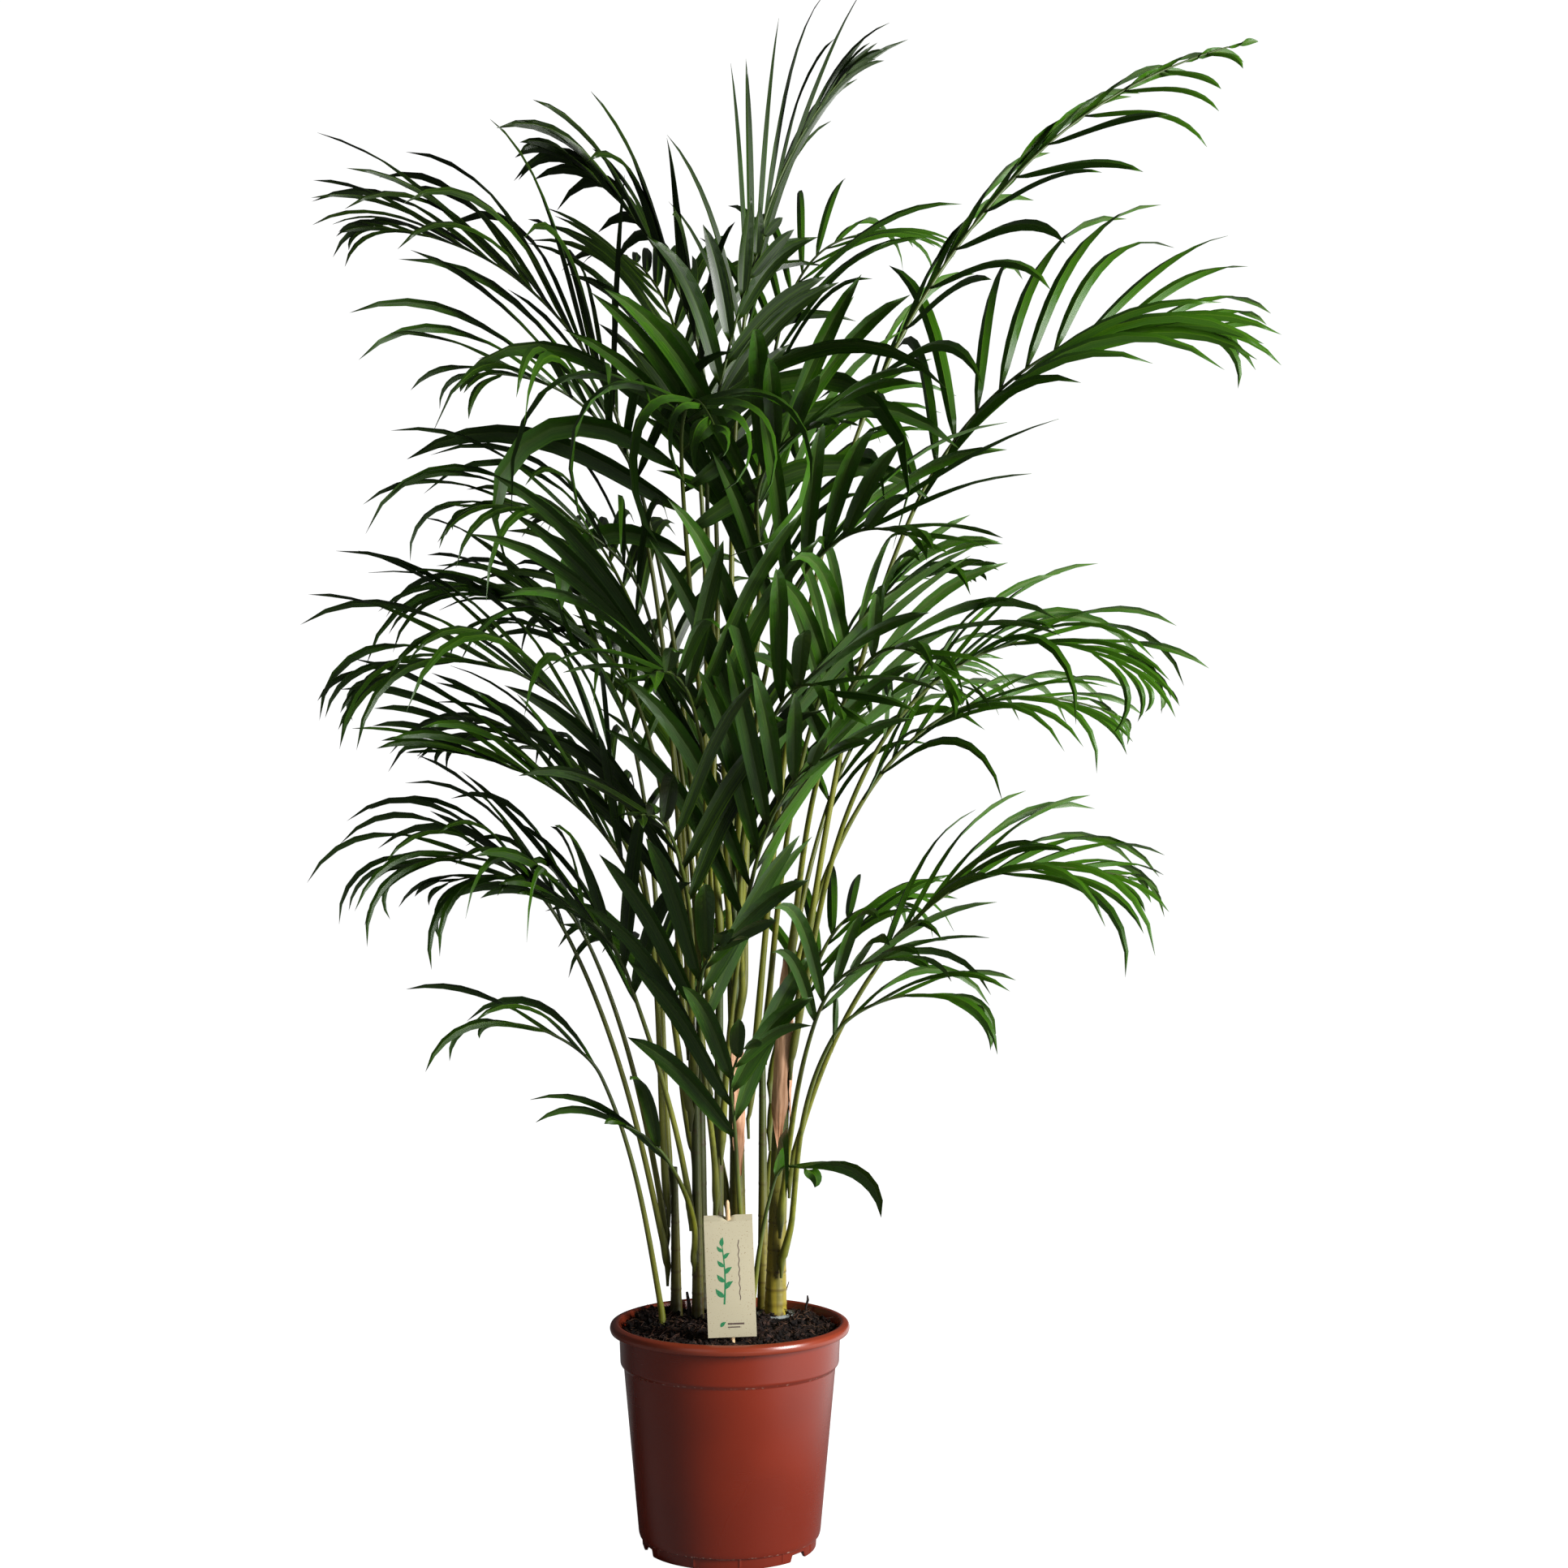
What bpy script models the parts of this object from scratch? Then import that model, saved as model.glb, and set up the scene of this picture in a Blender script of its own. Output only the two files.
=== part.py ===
"""A potted areca palm: a clump of slender canes with long feathery fronds, in a plastic nursery pot.

The model is in metres, +Z up and -Y towards the viewer's side. Its origin is the middle of the pot's
underside. Every piece that could be taken apart is its own object: the pot, the soil, each cane, each
frond (one compound leaf: stalk and leaflets grew as one piece), the plug collar, the label and its peg.
"""

import math
from collections import namedtuple

import bmesh
import bpy
import numpy as np
from mathutils import Quaternion, Vector
from mathutils.bvhtree import BVHTree
from mathutils.geometry import interpolate_bezier
from mathutils.kdtree import KDTree

# Pot, a thin moulded shell with a rolled rim, a stacking band and a notched foot.
POT_HEIGHT = 0.223
RIM_RADIUS = 0.1195
RIM_OVERHANG = 0.0095
RIM_DEPTH = 0.0105
BAND_DEPTH = 0.030
BAND_STEP = 0.0034
FOOT_RADIUS = 0.0865
FOOT_HEIGHT = 0.011
FOOT_STEP = 0.0040
WALL = 0.0020
PAD_RADIUS = 0.058
PAD_SLOPE = 0.004
CHANNEL_RISE = 0.0055
FOOT_RING_WIDTH = 0.003
EASING = 0.0012
NOTCH_COUNT = 3
NOTCH_WIDTH = 0.024
NOTCH_TOP_SHARE = 0.72
NOTCH_HEIGHT = 0.0065
NOTCH_TURN = math.radians(-37.5)
DRAIN_RADIUS = 0.006
POT_SIDES = 48

# Soil and what stands in it.
SOIL_BELOW_RIM = 0.011
SOIL_MOUND = 0.007
SEAT_GAP = 0.0004
PLANTING_DEPTH = 0.040
CANE_SIDES = 8
COLLAR_GAP = 0.0014
COLLAR_SUNK = 0.0008
COLLAR_WIDTH = 0.006
COLLAR_THICKNESS = 0.0010

# Label: a folded card sleeve held by a wooden peg pushed into the soil.
LABEL_WIDTH = 0.047
LABEL_HEIGHT = 0.117
LABEL_DEPTH = 0.0085
CARD = 0.0007
PEG_RADIUS = 0.0022
PEG_ABOVE_CARD = 0.015
PEG_BURIED = 0.045
LABEL_LEAN = math.radians(2.2)
LABEL_FROM_RIM = 0.038
LABEL_ABOVE_SOIL = 0.006

# Plant. The routes below were drawn, in centimetres, for a plant this tall above its soil and this wide.
PLANT_HEIGHT = 1.31
CROWN_WIDTH = 1.20
DRAWN_HEIGHT_CM = 131.0
DRAWN_WIDTH_CM = 120.0
DRAWN_SOIL_RADIUS_CM = 10.9
STALK_RADIUS = 0.0033
STALK_TIP_SHARE = 0.26
STALK_CLEARANCE = 0.0034
LEAFLET_THICKNESS = 0.0013
LEAFLET_CLEARANCE = 0.0007
FOOT_UNTESTED = 0.003
LEAFLET_WIDEST_AT = 0.40
PETIOLE_RING_SPACING = 0.060
BEDDED_LENGTH = 0.045

# How the stalks' routes are worked out.
SAMPLE_STEP = 0.005
NEAR_ENOUGH = 0.026
EASING_TURNS = 300
PAIRS_GOOD_FOR = 6
PUSH_WINDOW = 15
SHIFT_WINDOW = 9
EASING_HASTE = 2.5
LABEL_BERTH = 0.004

Cane = namedtuple("Cane", "base top radius")
Frond = namedtuple("Frond", "cane height knee shoulder tip leaflets length width sweep lift droop")

# Each cane: where its foot and its top are (x, y across the soil, then x, y, z above it), and its radius.
CANES = {
    "cane_1": Cane((4.6, 4.8), (6.0, 3.6, 37.0), 1.10),
    "cane_2": Cane((3.3, 8.2), (3.2, 8.0, 27.0), 0.60),
    "cane_3": Cane((-3.3, 2.4), (-3.7, 2.0, 29.0), 0.62),
    "cane_4": Cane((-5.6, 4.6), (-5.8, 4.2, 15.0), 0.62),
    "cane_5": Cane((-1.2, 0.2), (-1.0, -0.8, 36.0), 0.66),
    "cane_6": Cane((0.9, 3.4), (0.2, 2.4, 48.0), 0.84),
    "cane_7": Cane((-3.0, 7.8), (-3.4, 8.4, 33.0), 0.66),
    "cane_8": Cane((0.2, 8.6), (0.4, 9.0, 34.0), 0.56),
}
SOIL = "soil"
COLLARED_CANE = "cane_1"

# Each frond: the cane it grows from (or the soil) and how far up, then the points that its midline passes
# through: the knee, where the bare petiole ends and the leaflets begin, the shoulder and the tip. Then the
# number of leaflets, the longest one and its width in centimetres, the angle that they make with the
# midline at its start, how far they are raised above its plane, and how far they bend down, in degrees.
FRONDS = {
    # Right-hand side, from the top down.
    "frond_01": Frond("cane_6", 18, (11.8, 0, 86), (29.6, 3, 116), (50.7, 6, 129), 26, 24, 1.6, 28, 14, 50),
    "frond_02": Frond("cane_1", 30, (18.3, 0, 81), (31.6, 0, 96.5), (48.6, 0, 99.4), 24, 27, 1.5, 32, 20, 60),
    "frond_03": Frond("cane_1", 24, (15.0, -6, 58), (27.4, -8, 67.3), (40.3, -10, 63.6), 24, 20, 1.5, 30, 24, 80),
    "frond_04": Frond("cane_2", 21, (13.4, 6, 52), (24.3, 8, 61.8), (39.7, 10, 61), 20, 19, 1.4, 30, 22, 75),
    "frond_05": Frond("cane_1", 12, (14.1, -2, 35), (23.3, -2, 43.9), (39.3, -2, 44.6), 22, 21, 1.6, 28, 26, 70),
    "frond_06": Frond("cane_1", 4, (10.2, -8, 29.5), (15.7, -9, 33.2), (22.7, -10, 33), 8, 16, 1.4, 26, 16, 75),
    "frond_07": Frond(SOIL, (2.2, -2.0), (4.6, -4.8, 15.4), (5.6, -5.3, 16.5), (7.4, -6.0, 16.4), 3, 13, 2.6, 14, 6, 120),
    "frond_08": Frond("cane_8", 32, (3.9, 14, 96), (8.9, 22, 111), (18.4, 30, 115), 20, 20, 1.2, 34, 26, 75),
    "frond_09": Frond("cane_6", 36, (4.8, -8, 69), (10.6, -16, 76.6), (17.5, -26, 75.5), 16, 23, 2.1, 30, 42, 35),
    "frond_10": Frond("cane_2", 25, (8.2, -3, 60), (14.0, -7, 71), (22.2, -12, 74), 18, 18, 1.6, 30, 30, 55),
    "frond_11": Frond("cane_6", 28, (2.0, -13, 52), (5.8, -21, 62), (10.5, -32, 60.5), 14, 24, 2.1, 30, 40, 35),
    "frond_12": Frond("cane_1", 34, (9.4, -10, 57), (14.3, -18, 66), (20.4, -28, 62.5), 14, 20, 1.9, 30, 32, 50),
    "frond_13": Frond("cane_1", 8, (8.4, -9, 31), (11.4, -13, 36), (16.5, -17, 37.5), 12, 17, 1.7, 28, 20, 60),
    # Top.
    "frond_14": Frond("cane_6", 48, (0.9, 2, 95), (4.1, 0, 112), (11.5, -2, 124), 22, 24, 1.2, 20, 14, 40),
    "frond_15": Frond("cane_5", 31, (-2.5, -2, 94), (-7.9, -3, 107.5), (-17.0, -4, 116), 22, 20, 2.0, 26, 30, 70),
    "frond_16": Frond("cane_6", 41, (-2.0, -7, 84), (0.2, -9, 96), (3.5, -11, 106), 12, 15, 2.0, 26, 10, 30),
    "frond_17": Frond("cane_5", 36, (-3.9, -9, 76), (-4.0, -18, 87), (-0.5, -39, 84), 18, 26, 2.5, 60, 26, 150),
    # Left-hand side, from the top down.
    "frond_18": Frond("cane_7", 26, (-11.2, 2, 90), (-20.9, 1, 104), (-34.5, -1, 109), 26, 27, 1.7, 30, 36, 60),
    "frond_19": Frond("cane_5", 27, (-8.4, -9, 82), (-14.2, -15, 89.8), (-22.5, -22, 91), 18, 24, 1.5, 32, 30, 60),
    "frond_20": Frond("cane_5", 21, (-8.4, -5, 72), (-14.6, -9, 78.6), (-24.0, -13, 80), 18, 23, 1.2, 32, 26, 70),
    "frond_21": Frond("cane_3", 26, (-9.5, 5, 62), (-17, 8, 70.5), (-30.0, 11, 74), 22, 22, 1.4, 30, 28, 70),
    "frond_22": Frond("cane_4", 9, (-11.0, -2, 54), (-21.0, -5, 64.8), (-34.0, -8, 64), 22, 27, 1.6, 28, 28, 70),
    "frond_23": Frond("cane_3", 19, (-9.5, -7, 45), (-16, -11, 53), (-26.5, -13, 57), 18, 24, 1.9, 24, 22, 30),
    "frond_24": Frond("cane_4", 3, (-16.0, -3, 39), (-22.5, -5, 46), (-32.0, -7, 45.5), 18, 21, 1.3, 30, 24, 75),
    "frond_25": Frond("cane_4", 6, (-14.2, 5, 37), (-19.5, 3, 43.6), (-28.0, 0, 44), 14, 20, 1.5, 30, 22, 70),
    "frond_26": Frond(SOIL, (-7.0, 1.5), (-12.6, -3, 25.0), (-16.8, -4, 29), (-22.5, -5, 30.5), 6, 17, 1.5, 18, 10, 70),
    "frond_27": Frond("cane_3", 5, (-5.8, -6, 17), (-7.6, -8, 19.5), (-9.8, -9, 21), 4, 17, 1.7, 24, 12, 55),
    "frond_28": Frond("cane_4", 12, (-9.6, 7, 56), (-14.6, 11, 67), (-24.5, 17, 71), 18, 20, 1.4, 32, 26, 70),
    "frond_29": Frond("cane_3", 9, (-8.9, -4, 32), (-11.8, -7, 39), (-17.5, -10, 43), 12, 22, 2.1, 26, 20, 40),
    # Front and middle.
    "frond_30": Frond(SOIL, (1.6, -3.2), (0.7, -8, 20), (0.4, -11, 25.5), (1.6, -15, 29), 8, 17, 2.4, 30, 30, 30),
    "frond_31": Frond("cane_5", 11, (-2.6, -9, 29), (-2.3, -14, 36), (0.2, -21, 39.5), 10, 20, 2.5, 30, 40, 30),
    "frond_32": Frond("cane_3", 23, (-3.6, -8, 41), (-5.2, -15, 49), (-7.5, -25, 51), 12, 23, 2.2, 32, 40, 35),
    "frond_33": Frond("cane_6", 32, (-1.8, -11, 54), (-3.6, -19, 62.5), (-6.5, -32, 63), 16, 27, 2.2, 30, 45, 30),
    "frond_34": Frond("cane_5", 16, (1.6, -8, 41), (4.4, -15, 51), (8.6, -24, 56), 14, 25, 2.2, 28, 45, 25),
    "frond_35": Frond("cane_6", 44, (3.0, -3.6, 73), (3.2, -13, 82.5), (8.8, -26, 86), 16, 28, 2.3, 28, 45, 30),
    # Back.
    "frond_36": Frond("cane_7", 20, (-6.5, 12, 60), (-13.5, 21, 78), (-20.0, 37, 84), 20, 20, 1.7, 32, 32, 55),
    "frond_37": Frond("cane_8", 28, (3.0, 13, 72), (7.5, 22, 90), (13.0, 38, 96), 20, 21, 1.7, 32, 32, 55),
    "frond_38": Frond("cane_7", 31, (-3.2, 10, 84), (-6.5, 16, 103), (-13.0, 31, 113), 22, 22, 1.8, 30, 34, 50),
    "frond_39": Frond("cane_2", 16, (9.5, 12, 50), (16.5, 22, 63), (25.5, 36, 64), 18, 18, 1.6, 32, 30, 65),
    "frond_40": Frond("cane_7", 14, (-10.5, 12, 46), (-19.5, 19, 57), (-31.0, 26, 58), 20, 20, 1.7, 30, 30, 65),
    "frond_41": Frond("cane_8", 15, (-0.6, 15, 42), (-1.2, 25, 54), (-3.0, 41, 55), 20, 27, 2.1, 28, 45, 35),
    "frond_42": Frond("cane_2", 10, (7.5, 14, 31), (12.0, 22, 39), (19.0, 31, 40), 14, 18, 1.6, 32, 26, 65),
    "frond_43": Frond("cane_8", 8, (-5.4, 15, 28), (-9.0, 24, 35.5), (-13.5, 34, 36), 14, 20, 1.8, 30, 30, 55),
}

# Fronds that lean over: by how many degrees, and how much wider apart the right-hand leaflets open than the left.
LEANS = {
    "frond_01": (45, 0.5), "frond_02": (60, -0.4), "frond_03": (30, 0.3), "frond_04": (30, 0.3), "frond_05": (30, 0.3),
    "frond_06": (20, 0.2), "frond_08": (30, 0.2), "frond_10": (20, 0.2), "frond_15": (-15, 0.0), "frond_18": (-35, -0.2),
    "frond_19": (-30, -0.3), "frond_20": (-30, -0.3), "frond_21": (-30, -0.3), "frond_22": (-30, -0.3),
    "frond_23": (-25, -0.2), "frond_24": (-30, -0.3), "frond_25": (-25, -0.3), "frond_26": (-20, -0.2),
}

# What follows from the sizes above.
SOIL_EDGE = POT_HEIGHT - SOIL_BELOW_RIM
SOIL_TOP = SOIL_EDGE + SOIL_MOUND
BAND_RADIUS = RIM_RADIUS - RIM_OVERHANG
SOIL_RADIUS = BAND_RADIUS - WALL - SEAT_GAP
CM = 0.01
RISE = PLANT_HEIGHT / DRAWN_HEIGHT_CM
REACH = CROWN_WIDTH / DRAWN_WIDTH_CM
ACROSS_SOIL = SOIL_RADIUS / DRAWN_SOIL_RADIUS_CM
UP = Vector((0, 0, 1))


def clear_scene():
    for obj in list(bpy.data.objects):
        bpy.data.objects.remove(obj, do_unlink=True)


def make_material(name, colour, roughness, metallic=0.0):
    material = bpy.data.materials.new(name)
    material.use_nodes = True
    shader = material.node_tree.nodes["Principled BSDF"]
    shader.inputs["Base Color"].default_value = (*colour, 1.0)
    shader.inputs["Roughness"].default_value = roughness
    shader.inputs["Metallic"].default_value = metallic
    return material


def add_object(name, bm, material, smooth_angle=None):
    """Turns a bmesh into a scene object with outward faces."""
    bmesh.ops.recalc_face_normals(bm, faces=bm.faces)
    mesh = bpy.data.meshes.new(name)
    bm.to_mesh(mesh)
    bm.free()
    if smooth_angle is not None:
        mesh.shade_smooth()
        mesh.set_sharp_from_angle(angle=math.radians(smooth_angle))
    mesh.materials.append(material)
    obj = bpy.data.objects.new(name, mesh)
    bpy.context.scene.collection.objects.link(obj)
    return obj


def turned(profile, sides):
    """A closed body of revolution about Z, from a profile of (radius, height) that starts and ends on it."""
    bm = bmesh.new()
    verts = [bm.verts.new((r, 0.0, z)) for r, z in profile]
    edges = [bm.edges.new(pair) for pair in zip(verts, verts[1:])]
    bmesh.ops.spin(bm, geom=verts + edges, axis=UP, cent=(0, 0, 0), angle=2 * math.pi, steps=sides)
    bmesh.ops.remove_doubles(bm, verts=bm.verts, dist=1e-6)
    return bm


def tube(points, radii, sides):
    """A closed tube with flat ends, its rings level with the ground unless the route leans."""
    bm = bmesh.new()
    rings = []
    for i, (centre, radius) in enumerate(zip(points, radii)):
        along = (points[min(i + 1, len(points) - 1)] - points[max(i - 1, 0)]).normalized()
        across = along.orthogonal().normalized() if abs(along.z) < 0.5 else along.cross(Vector((0, 1, 0))).normalized()
        other = along.cross(across)
        ring = []
        for k in range(sides):
            angle = 2 * math.pi * k / sides
            ring.append(bm.verts.new(centre + (across * math.cos(angle) + other * math.sin(angle)) * radius))
        rings.append(ring)
    for low, high in zip(rings, rings[1:]):
        for k in range(sides):
            bm.faces.new((low[k], low[(k + 1) % sides], high[(k + 1) % sides], high[k]))
    bm.faces.new(rings[0])
    bm.faces.new(rings[-1])
    return bm


def cutter(name, bm):
    obj = add_object(name, bm, None)
    obj.hide_render = True
    obj.display_type = "WIRE"
    return obj


def cut(obj, cutters):
    for other in cutters:
        boolean = obj.modifiers.new(other.name, "BOOLEAN")
        boolean.operation = "DIFFERENCE"
        boolean.object = other


def turned_place(angle, radius, height):
    """A point at an angle round the pot, measured from +X."""
    return Vector((radius * math.cos(angle), radius * math.sin(angle), height))


# ---------------------------------------------------------------- pot and soil


def wall_bottom():
    """Where the outer wall meets the foot: its radius and height."""
    return FOOT_RADIUS + FOOT_STEP, FOOT_HEIGHT


def pot_outside():
    """Outline of the pot's outer face as (radius, height), from the middle of the pad up to the rim's crest."""
    low_radius, low_height = wall_bottom()
    band_bottom = POT_HEIGHT - RIM_DEPTH - BAND_DEPTH
    band_top = POT_HEIGHT - RIM_DEPTH
    ring_inside = FOOT_RADIUS - WALL
    return [
        (0.0, 0.0),
        (PAD_RADIUS, 0.0),
        (PAD_RADIUS + PAD_SLOPE, CHANNEL_RISE),
        (ring_inside - FOOT_RING_WIDTH, CHANNEL_RISE),
        (ring_inside - EASING, 0.0),
        (FOOT_RADIUS - EASING / 2, 0.0),
        (FOOT_RADIUS, low_height),
        (low_radius - EASING, low_height),
        (low_radius, low_height + FOOT_STEP),
        (BAND_RADIUS - EASING - BAND_STEP, band_bottom - BAND_STEP),
        (BAND_RADIUS - EASING, band_bottom),
        (BAND_RADIUS, band_top),
        (RIM_RADIUS - EASING, band_top + EASING / 2),
        (RIM_RADIUS, band_top + RIM_DEPTH * 0.4),
        (RIM_RADIUS - EASING, POT_HEIGHT - EASING * 2),
        (BAND_RADIUS + EASING * 2.5, POT_HEIGHT),
    ]


def pot_inside():
    """Outline of the pot's inner face as (radius, height), from the rim's crest down to the middle of the floor."""
    low_radius, low_height = wall_bottom()
    band_bottom = POT_HEIGHT - RIM_DEPTH - BAND_DEPTH
    ring_inside = FOOT_RADIUS - WALL
    return [
        (BAND_RADIUS + EASING / 3, POT_HEIGHT - EASING),
        (BAND_RADIUS - WALL, POT_HEIGHT - RIM_DEPTH),
        (BAND_RADIUS - WALL - EASING, band_bottom),
        (BAND_RADIUS - WALL - EASING - BAND_STEP, band_bottom - BAND_STEP),
        (low_radius - WALL, low_height + FOOT_STEP),
        (ring_inside - EASING, CHANNEL_RISE + WALL),
        (PAD_RADIUS + PAD_SLOPE * 0.75, CHANNEL_RISE + WALL),
        (PAD_RADIUS - EASING / 2, WALL),
        (0.0, WALL),
    ]


def notch_cutter(index):
    """A wedge-topped block that runs through the foot ring, as deep as a water gate."""
    angle = NOTCH_TURN + index * 2 * math.pi / NOTCH_COUNT
    out = Vector((math.cos(angle), math.sin(angle), 0))
    side = Vector((-out.y, out.x, 0))
    near, far = FOOT_RADIUS - WALL - FOOT_RING_WIDTH * 2, FOOT_RADIUS + FOOT_STEP * 2
    bm = bmesh.new()
    top = NOTCH_TOP_SHARE / 2
    section = [(-0.5, -CHANNEL_RISE), (0.5, -CHANNEL_RISE), (top, NOTCH_HEIGHT), (-top, NOTCH_HEIGHT)]
    ends = []
    for distance in (near, far):
        ends.append([bm.verts.new(out * distance + side * (u * NOTCH_WIDTH) + UP * z) for u, z in section])
    bm.faces.new(ends[0])
    bm.faces.new(ends[1])
    for k in range(4):
        n = (k + 1) % 4
        bm.faces.new((ends[0][k], ends[0][n], ends[1][n], ends[1][k]))
    return cutter(f"notch_cutter_{index + 1}", bm)


def drain_cutter(index):
    """A round hole through the raised channel, halfway between two notches."""
    angle = NOTCH_TURN + (index + 0.5) * 2 * math.pi / NOTCH_COUNT
    radius = (PAD_RADIUS + PAD_SLOPE + FOOT_RADIUS - WALL - FOOT_RING_WIDTH) / 2
    foot = turned_place(angle, radius, CHANNEL_RISE - WALL * 2)
    head = foot + UP * (WALL * 5)
    return cutter(f"drain_cutter_{index + 1}", tube([foot, head], [DRAIN_RADIUS] * 2, 10))


def make_pot(material):
    pot = add_object("pot", turned(pot_outside() + pot_inside(), POT_SIDES), material, 35)
    cut(pot, [notch_cutter(i) for i in range(NOTCH_COUNT)])
    cut(pot, [drain_cutter(i) for i in range(NOTCH_COUNT)])


def soil_height(x, y):
    """Height of the mounded soil over a point."""
    share = min(1.0, (x * x + y * y) / SOIL_RADIUS**2)
    return SOIL_EDGE + SOIL_MOUND * (1 - share)


def soil_profile():
    """The soil fills the pot to just under the rim, a small gap away from its inside."""
    mound = [(SOIL_RADIUS * k / 4, soil_height(SOIL_RADIUS * k / 4, 0)) for k in range(5)]
    sides = [(r - SEAT_GAP, z + SEAT_GAP) for r, z in pot_inside()[2:-1]]
    return mound + sides + [(0.0, WALL + SEAT_GAP)]


def make_soil(material, cutters):
    soil = add_object("soil", turned(soil_profile()[::-1], POT_SIDES), material, 50)
    cut(soil, cutters)


# ---------------------------------------------------------------- canes


def cane_axis(cane, share):
    """A point on a cane's axis: share 0 is the soil's surface and 1 the cane's top, and below 0 is buried."""
    x, y = cane.base
    foot = Vector((x * ACROSS_SOIL, y * ACROSS_SOIL, SOIL_TOP))
    top_x, top_y, height = cane.top
    head = Vector((foot.x + (top_x - x) * REACH, foot.y + (top_y - y) * REACH, SOIL_TOP + height * RISE))
    if share < 0:
        return foot - UP * PLANTING_DEPTH * -share
    bow = Vector((head.x - foot.x, head.y - foot.y, 0)) * (share * share - share) * 0.6
    return foot.lerp(head, share) + bow


def cane_radius(cane, share):
    """A cane swells at its foot and is a little over half as thick at its top."""
    foot_swell = 0.10 * max(0.0, 1 - abs(share) * 8)
    return cane.radius * CM * (1.0 - 0.42 * max(share, 0.0) + foot_swell - 0.05)


def make_cane(name, cane, material):
    shares = [-1.0, 0.0, 0.08, 0.3, 0.55, 0.8, 1.0]
    points = [cane_axis(cane, s) for s in shares]
    radii = [cane_radius(cane, s) for s in shares]
    return add_object(name, tube(points, radii, CANE_SIDES), material, 60)


def planting_hole(name, foot, radius):
    """A cutter for the hole that a cane or stalk stands in."""
    low = Vector((foot.x, foot.y, SOIL_TOP - PLANTING_DEPTH - SEAT_GAP))
    high = Vector((foot.x, foot.y, SOIL_TOP + 0.02))
    return cutter(name, tube([low, high], [radius] * 2, CANE_SIDES))


def make_collar(material):
    """The thin plastic ring of the seedling plug, left round the foot of one cane."""
    cane = CANES[COLLARED_CANE]
    inner = cane_radius(cane, 0) + COLLAR_GAP
    outer = inner + COLLAR_WIDTH
    foot = cane_axis(cane, 0)
    base = foot.z - COLLAR_SUNK
    outline = [(inner, base), (outer, base), (outer, base + COLLAR_THICKNESS), (inner, base + COLLAR_THICKNESS)]
    bm = turned(outline + outline[:1], 20)
    bmesh.ops.translate(bm, verts=bm.verts, vec=(foot.x, foot.y, 0))
    add_object("plug_collar", bm, material)
    low = Vector((foot.x, foot.y, base - SEAT_GAP))
    return cutter("collar_seat", tube([low, low + UP * 0.02], [outer + SEAT_GAP * 2] * 2, 20))


# ---------------------------------------------------------------- fronds


def smooth_route(knots, first_direction):
    """Points about a sample step apart on a smooth curve through the knots."""
    chords = [(b - a).length for a, b in zip(knots, knots[1:])]
    tangents = [first_direction.normalized()]
    for i in range(1, len(knots) - 1):
        before = (knots[i] - knots[i - 1]) / chords[i - 1] ** 0.5
        after = (knots[i + 1] - knots[i]) / chords[i] ** 0.5
        tangents.append((before + after).normalized())
    last = (knots[-1] - knots[-2]).normalized()
    tangents.append((2 * last - tangents[-1]).normalized())
    dense = []
    for i, chord in enumerate(chords):
        start, end = knots[i], knots[i + 1]
        reach = chord / 3
        dense += interpolate_bezier(start, start + tangents[i] * reach, end - tangents[i + 1] * reach, end, 48)[:-1]
    dense.append(knots[-1])
    return resampled(np.array([tuple(p) for p in dense]), SAMPLE_STEP)


def resampled(line, step):
    """The same line with points evenly spaced, about a step apart."""
    along = np.concatenate([[0], np.cumsum(np.linalg.norm(np.diff(line, axis=0), axis=1))])
    count = max(8, int(round(along[-1] / step)) + 1)
    at = np.linspace(0, along[-1], count)
    return np.stack([np.interp(at, along, line[:, k]) for k in range(3)], axis=1)


def stalk_radius(share):
    """Radius of a frond's stalk: nearly even along the petiole, then thin towards the tip."""
    return STALK_RADIUS * (1 - (1 - STALK_TIP_SHARE) * share**1.4)


def frond_route(frond):
    """The midline of a frond, and the place on it where the leaflets begin."""
    knee, shoulder, tip = (
        Vector((x * REACH, y * REACH, SOIL_TOP + z * RISE)) for x, y, z in (frond.knee, frond.shoulder, frond.tip)
    )
    if frond.cane == SOIL:
        x, y = frond.height
        root = Vector((x * ACROSS_SOIL, y * ACROSS_SOIL, SOIL_TOP - PLANTING_DEPTH))
        bed = root + UP * (PLANTING_DEPTH + 0.012)
        knots, first = [root, bed, knee, shoulder, tip], UP
    else:
        cane = CANES[frond.cane]
        share = frond.height / cane.top[2]
        axis_point = cane_axis(cane, min(share, 1.0))
        along = (cane_axis(cane, 1.0) - cane_axis(cane, 0.6)).normalized()
        if share >= 1.0:
            root = axis_point + along * (SEAT_GAP * 2)
        else:
            level = knee - axis_point
            level = (level - along * level.dot(along)).normalized()
            root = axis_point + level * (cane_radius(cane, share) + stalk_radius(0) + 0.0012)
        bed = root + along * BEDDED_LENGTH + (knee - root).normalized() * 0.004
        knots, first = [root, bed, knee, shoulder, tip], along
    line = smooth_route(knots, first)
    gaps = np.linalg.norm(line - np.array(tuple(knee)), axis=1)
    return line, int(gaps.argmin()) / (len(line) - 1)


def standing_obstacles():
    """Points with radii that stalks keep clear of: the canes and the label on its peg."""
    found = []
    for cane in CANES.values():
        for share in np.linspace(0, 1, 60):
            found.append((*cane_axis(cane, share), cane_radius(cane, share)))
    foot, head = peg_line()
    for share in np.linspace(0, 1, 30):
        found.append((*foot.lerp(head, share), PEG_RADIUS + LABEL_BERTH))
    return np.array(found)


def evened(values, width):
    """Rows smoothed along a stalk by a bell-shaped window."""
    window = np.hanning(width + 2)[1:-1]
    padded = np.pad(values, ((width // 2, width // 2), (0, 0)), mode="edge")
    return np.stack([np.convolve(padded[:, k], window / window.sum(), mode="valid") for k in range(3)], axis=1)


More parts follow.
